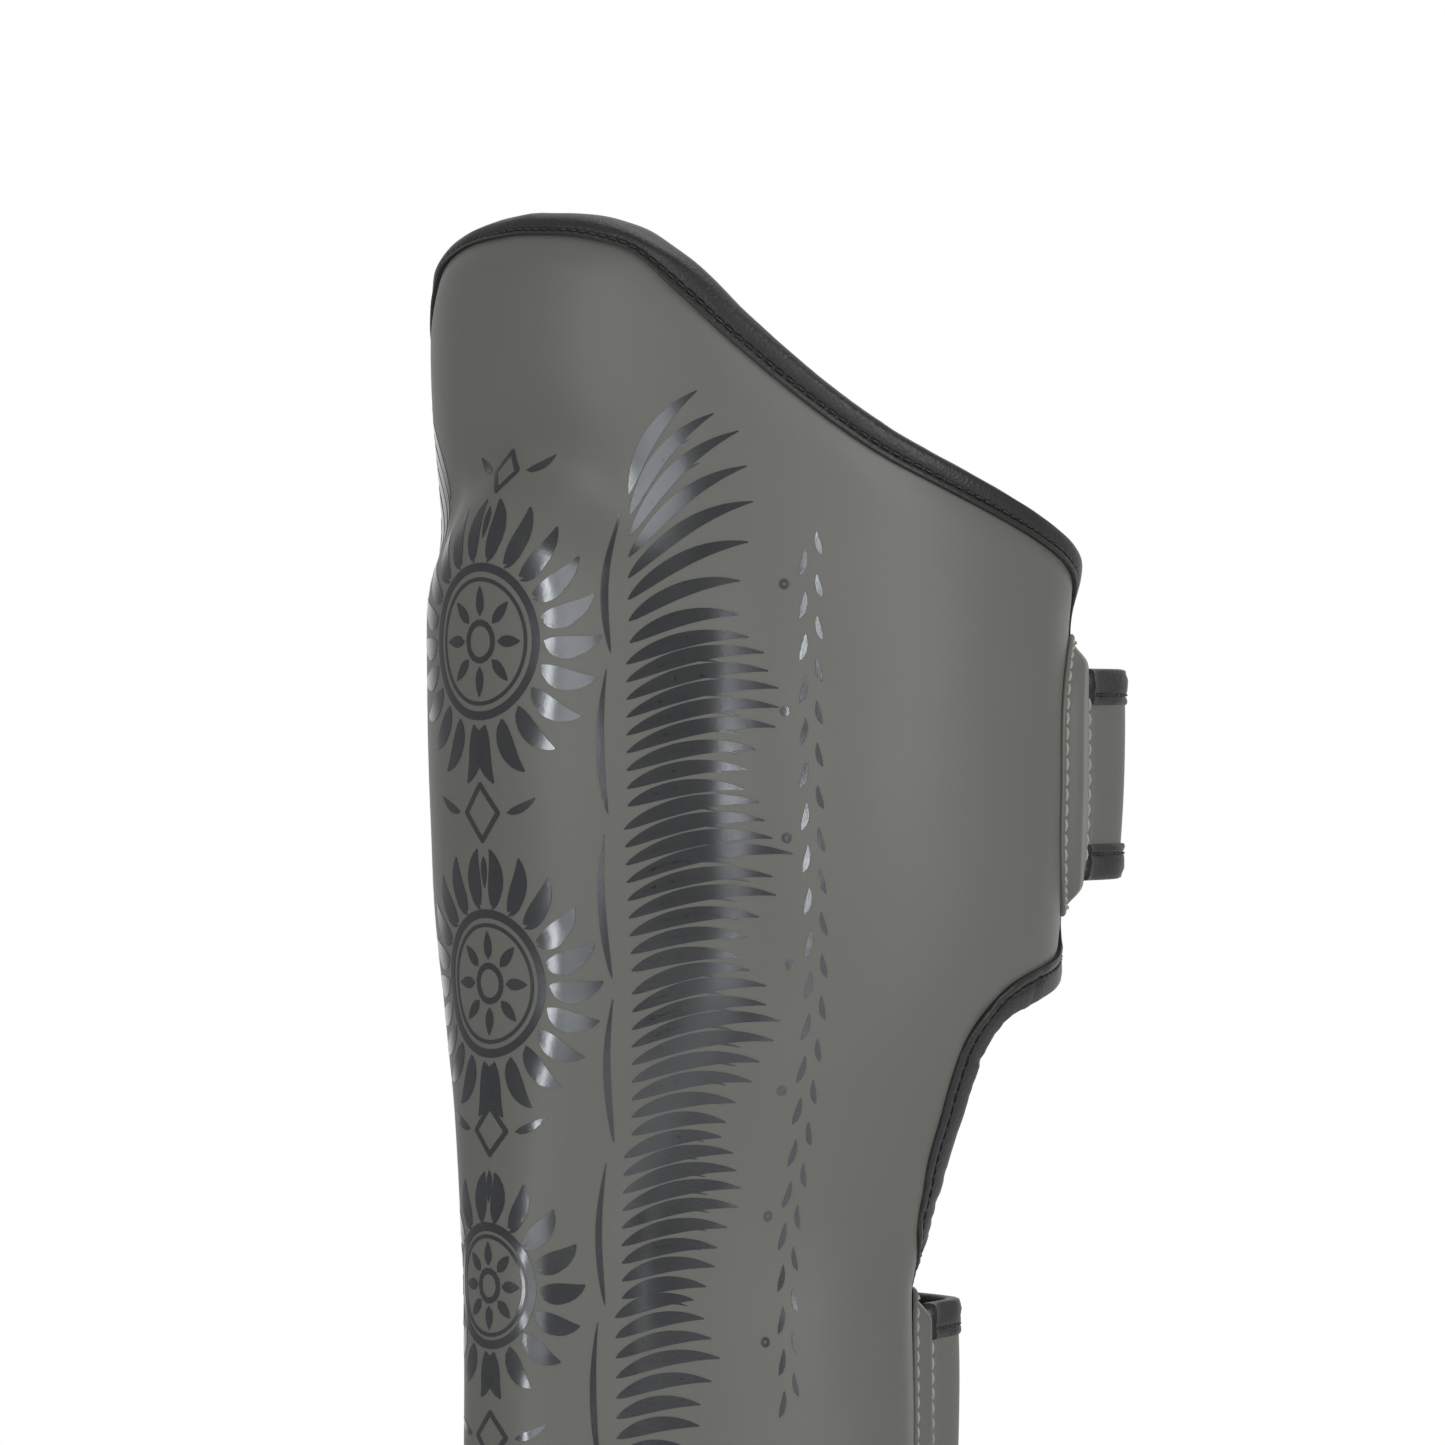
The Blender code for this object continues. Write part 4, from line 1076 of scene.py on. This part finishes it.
def makeFoil():
    foil = Foil(shinPad)
    rng = random.Random(7)
    for spot in medallions:
        z, radius = spot["z"], spot["radius"]
        foil.ring(0, z, radius * 0.14, 0.0016)
        for k in range(8):
            angle = 90 - 45 * k
            reach = radius * 0.19
            foil.leaf(reach * math.cos(math.radians(angle)), z + reach * math.sin(math.radians(angle)),
                      angle, radius * 0.22, 0.0030, both=False)
        foil.ring(0, z, radius * 0.46, 0.0010)
        foil.ring(0, z, radius * 0.55, 0.0022)
        for k in range(spot["flames"]):
            angle = 84 - 168 * k / (spot["flames"] - 1)
            reach = radius * 0.62
            x, height = reach * math.cos(math.radians(angle)), z + reach * math.sin(math.radians(angle))
            foil.leaf(x, height, angle - 26, radius * 0.46, 0.0052, bend=62)
            foil.leaf(x * 1.02, height - 0.0012, angle - 44, radius * 0.26, 0.0016, bend=50)
    for wing in wings:
        for k in range(wing["count"]):
            share = k / (wing["count"] - 1)
            heading = wing["first"] + (wing["last"] - wing["first"]) * share
            start = math.radians(heading)
            x = wing["x"] + 0.007 * math.cos(start)
            z = wing["z"] + 0.004 * math.sin(start) - 0.035 * (share - 0.5)
            length = wing["length"] * (1 - 0.50 * abs(share - 0.4)) * rng.uniform(0.94, 1.05)
            foil.leaf(x, z, heading + 22, length, 0.0039, bend=wing["bend"])
            foil.leaf(x + 0.003, z - 0.0026, heading + 18, length * 0.66, 0.0011, bend=wing["bend"])
        foil.leaf(wing["x"] + 0.002, wing["z"] - 0.019, 100, 0.036, 0.0018, bend=-20)
    for spot in lozenges:
        low, high, wide = spot["low"], spot["high"], spot["wide"]
        foil.lozenge(0, (low + high) / 2, wide, (high - low) / 2, 0.0014)
        foil.leaf(0, low - 0.004, -90, 0.008, 0.0022, both=False)
        foil.leaf(wide + 0.003, (low + high) / 2, 8, 0.010, 0.0022, bend=30)
    for k in range(sideRow["count"]):
        z = sideRow["top"] - sideRow["pitch"] * k
        foil.leaf(sideRow["inner"], z, 62, 0.0070, 0.0017, bend=30)
        foil.leaf(sideRow["outer"], z + 0.0052, 118, 0.0062, 0.0015, bend=-30)
        if k % 3 == 0:
            foil.ring(sideRow["dots"], z - 0.002, 0.0009, 0.0009, both=True)
    for k in range(footRow["count"]):
        x = footRow["start"] + footRow["pitch"] * k
        foil.leaf(x, footRow["upper"], 28, 0.0066, 0.0017, bend=40)
        foil.leaf(x + 0.003, footRow["lower"], -30, 0.0050, 0.0013, bend=-30)
    return foil.finish("foilOrnament", foilMaterial())


def foilMaterial():
    material, wire, shader = newMaterial("darkFoil", metallic=1.0)
    at = wire.make("ShaderNodeTexCoord", out=3)
    worn = wire.make("ShaderNodeTexNoise", {}, {"Vector": at, "Scale": 55.0, "Detail": 5.0})
    fine = wire.make("ShaderNodeTexNoise", {}, {"Vector": at, "Scale": 900.0, "Detail": 2.0})
    colour = foilLook["colour"]
    plug(worn.blend((*[c * 0.86 for c in colour], 1), (*[c * 1.1 for c in colour], 1)), shader, "Base Color")
    plug(foilLook["roughness"] + (worn - 0.5) * 0.12, shader, "Roughness")
    plug(wire.make("ShaderNodeBump", {}, {"Strength": 0.12, "Distance": 0.0001, "Height": fine}),
         shader, "Normal")
    return material


ornament = makeFoil()
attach(ornament, "root")
print("ornament made")


ahead = makeCamera()
makeLights()
makeWorld(ahead)
bpy.context.scene.view_settings.view_transform = "Standard"
bpy.ops.mesh.primitive_cylinder_add(vertices=96, radius=worldLook["floorRadius"],
                                    depth=worldLook["floorThickness"])
floor = bpy.context.object
floor.name = "floor"
floor.location.z = cadBox[0][2] - worldLook["floorDrop"] - worldLook["floorThickness"] / 2
floorMaterial, _, floorShader = newMaterial("floorPaint")
floorShader.inputs["Base Color"].default_value = (0.8, 0.8, 0.8, 1)
floorShader.inputs["Roughness"].default_value = 0.8
floor.data.materials.append(floorMaterial)

print("scene ready")
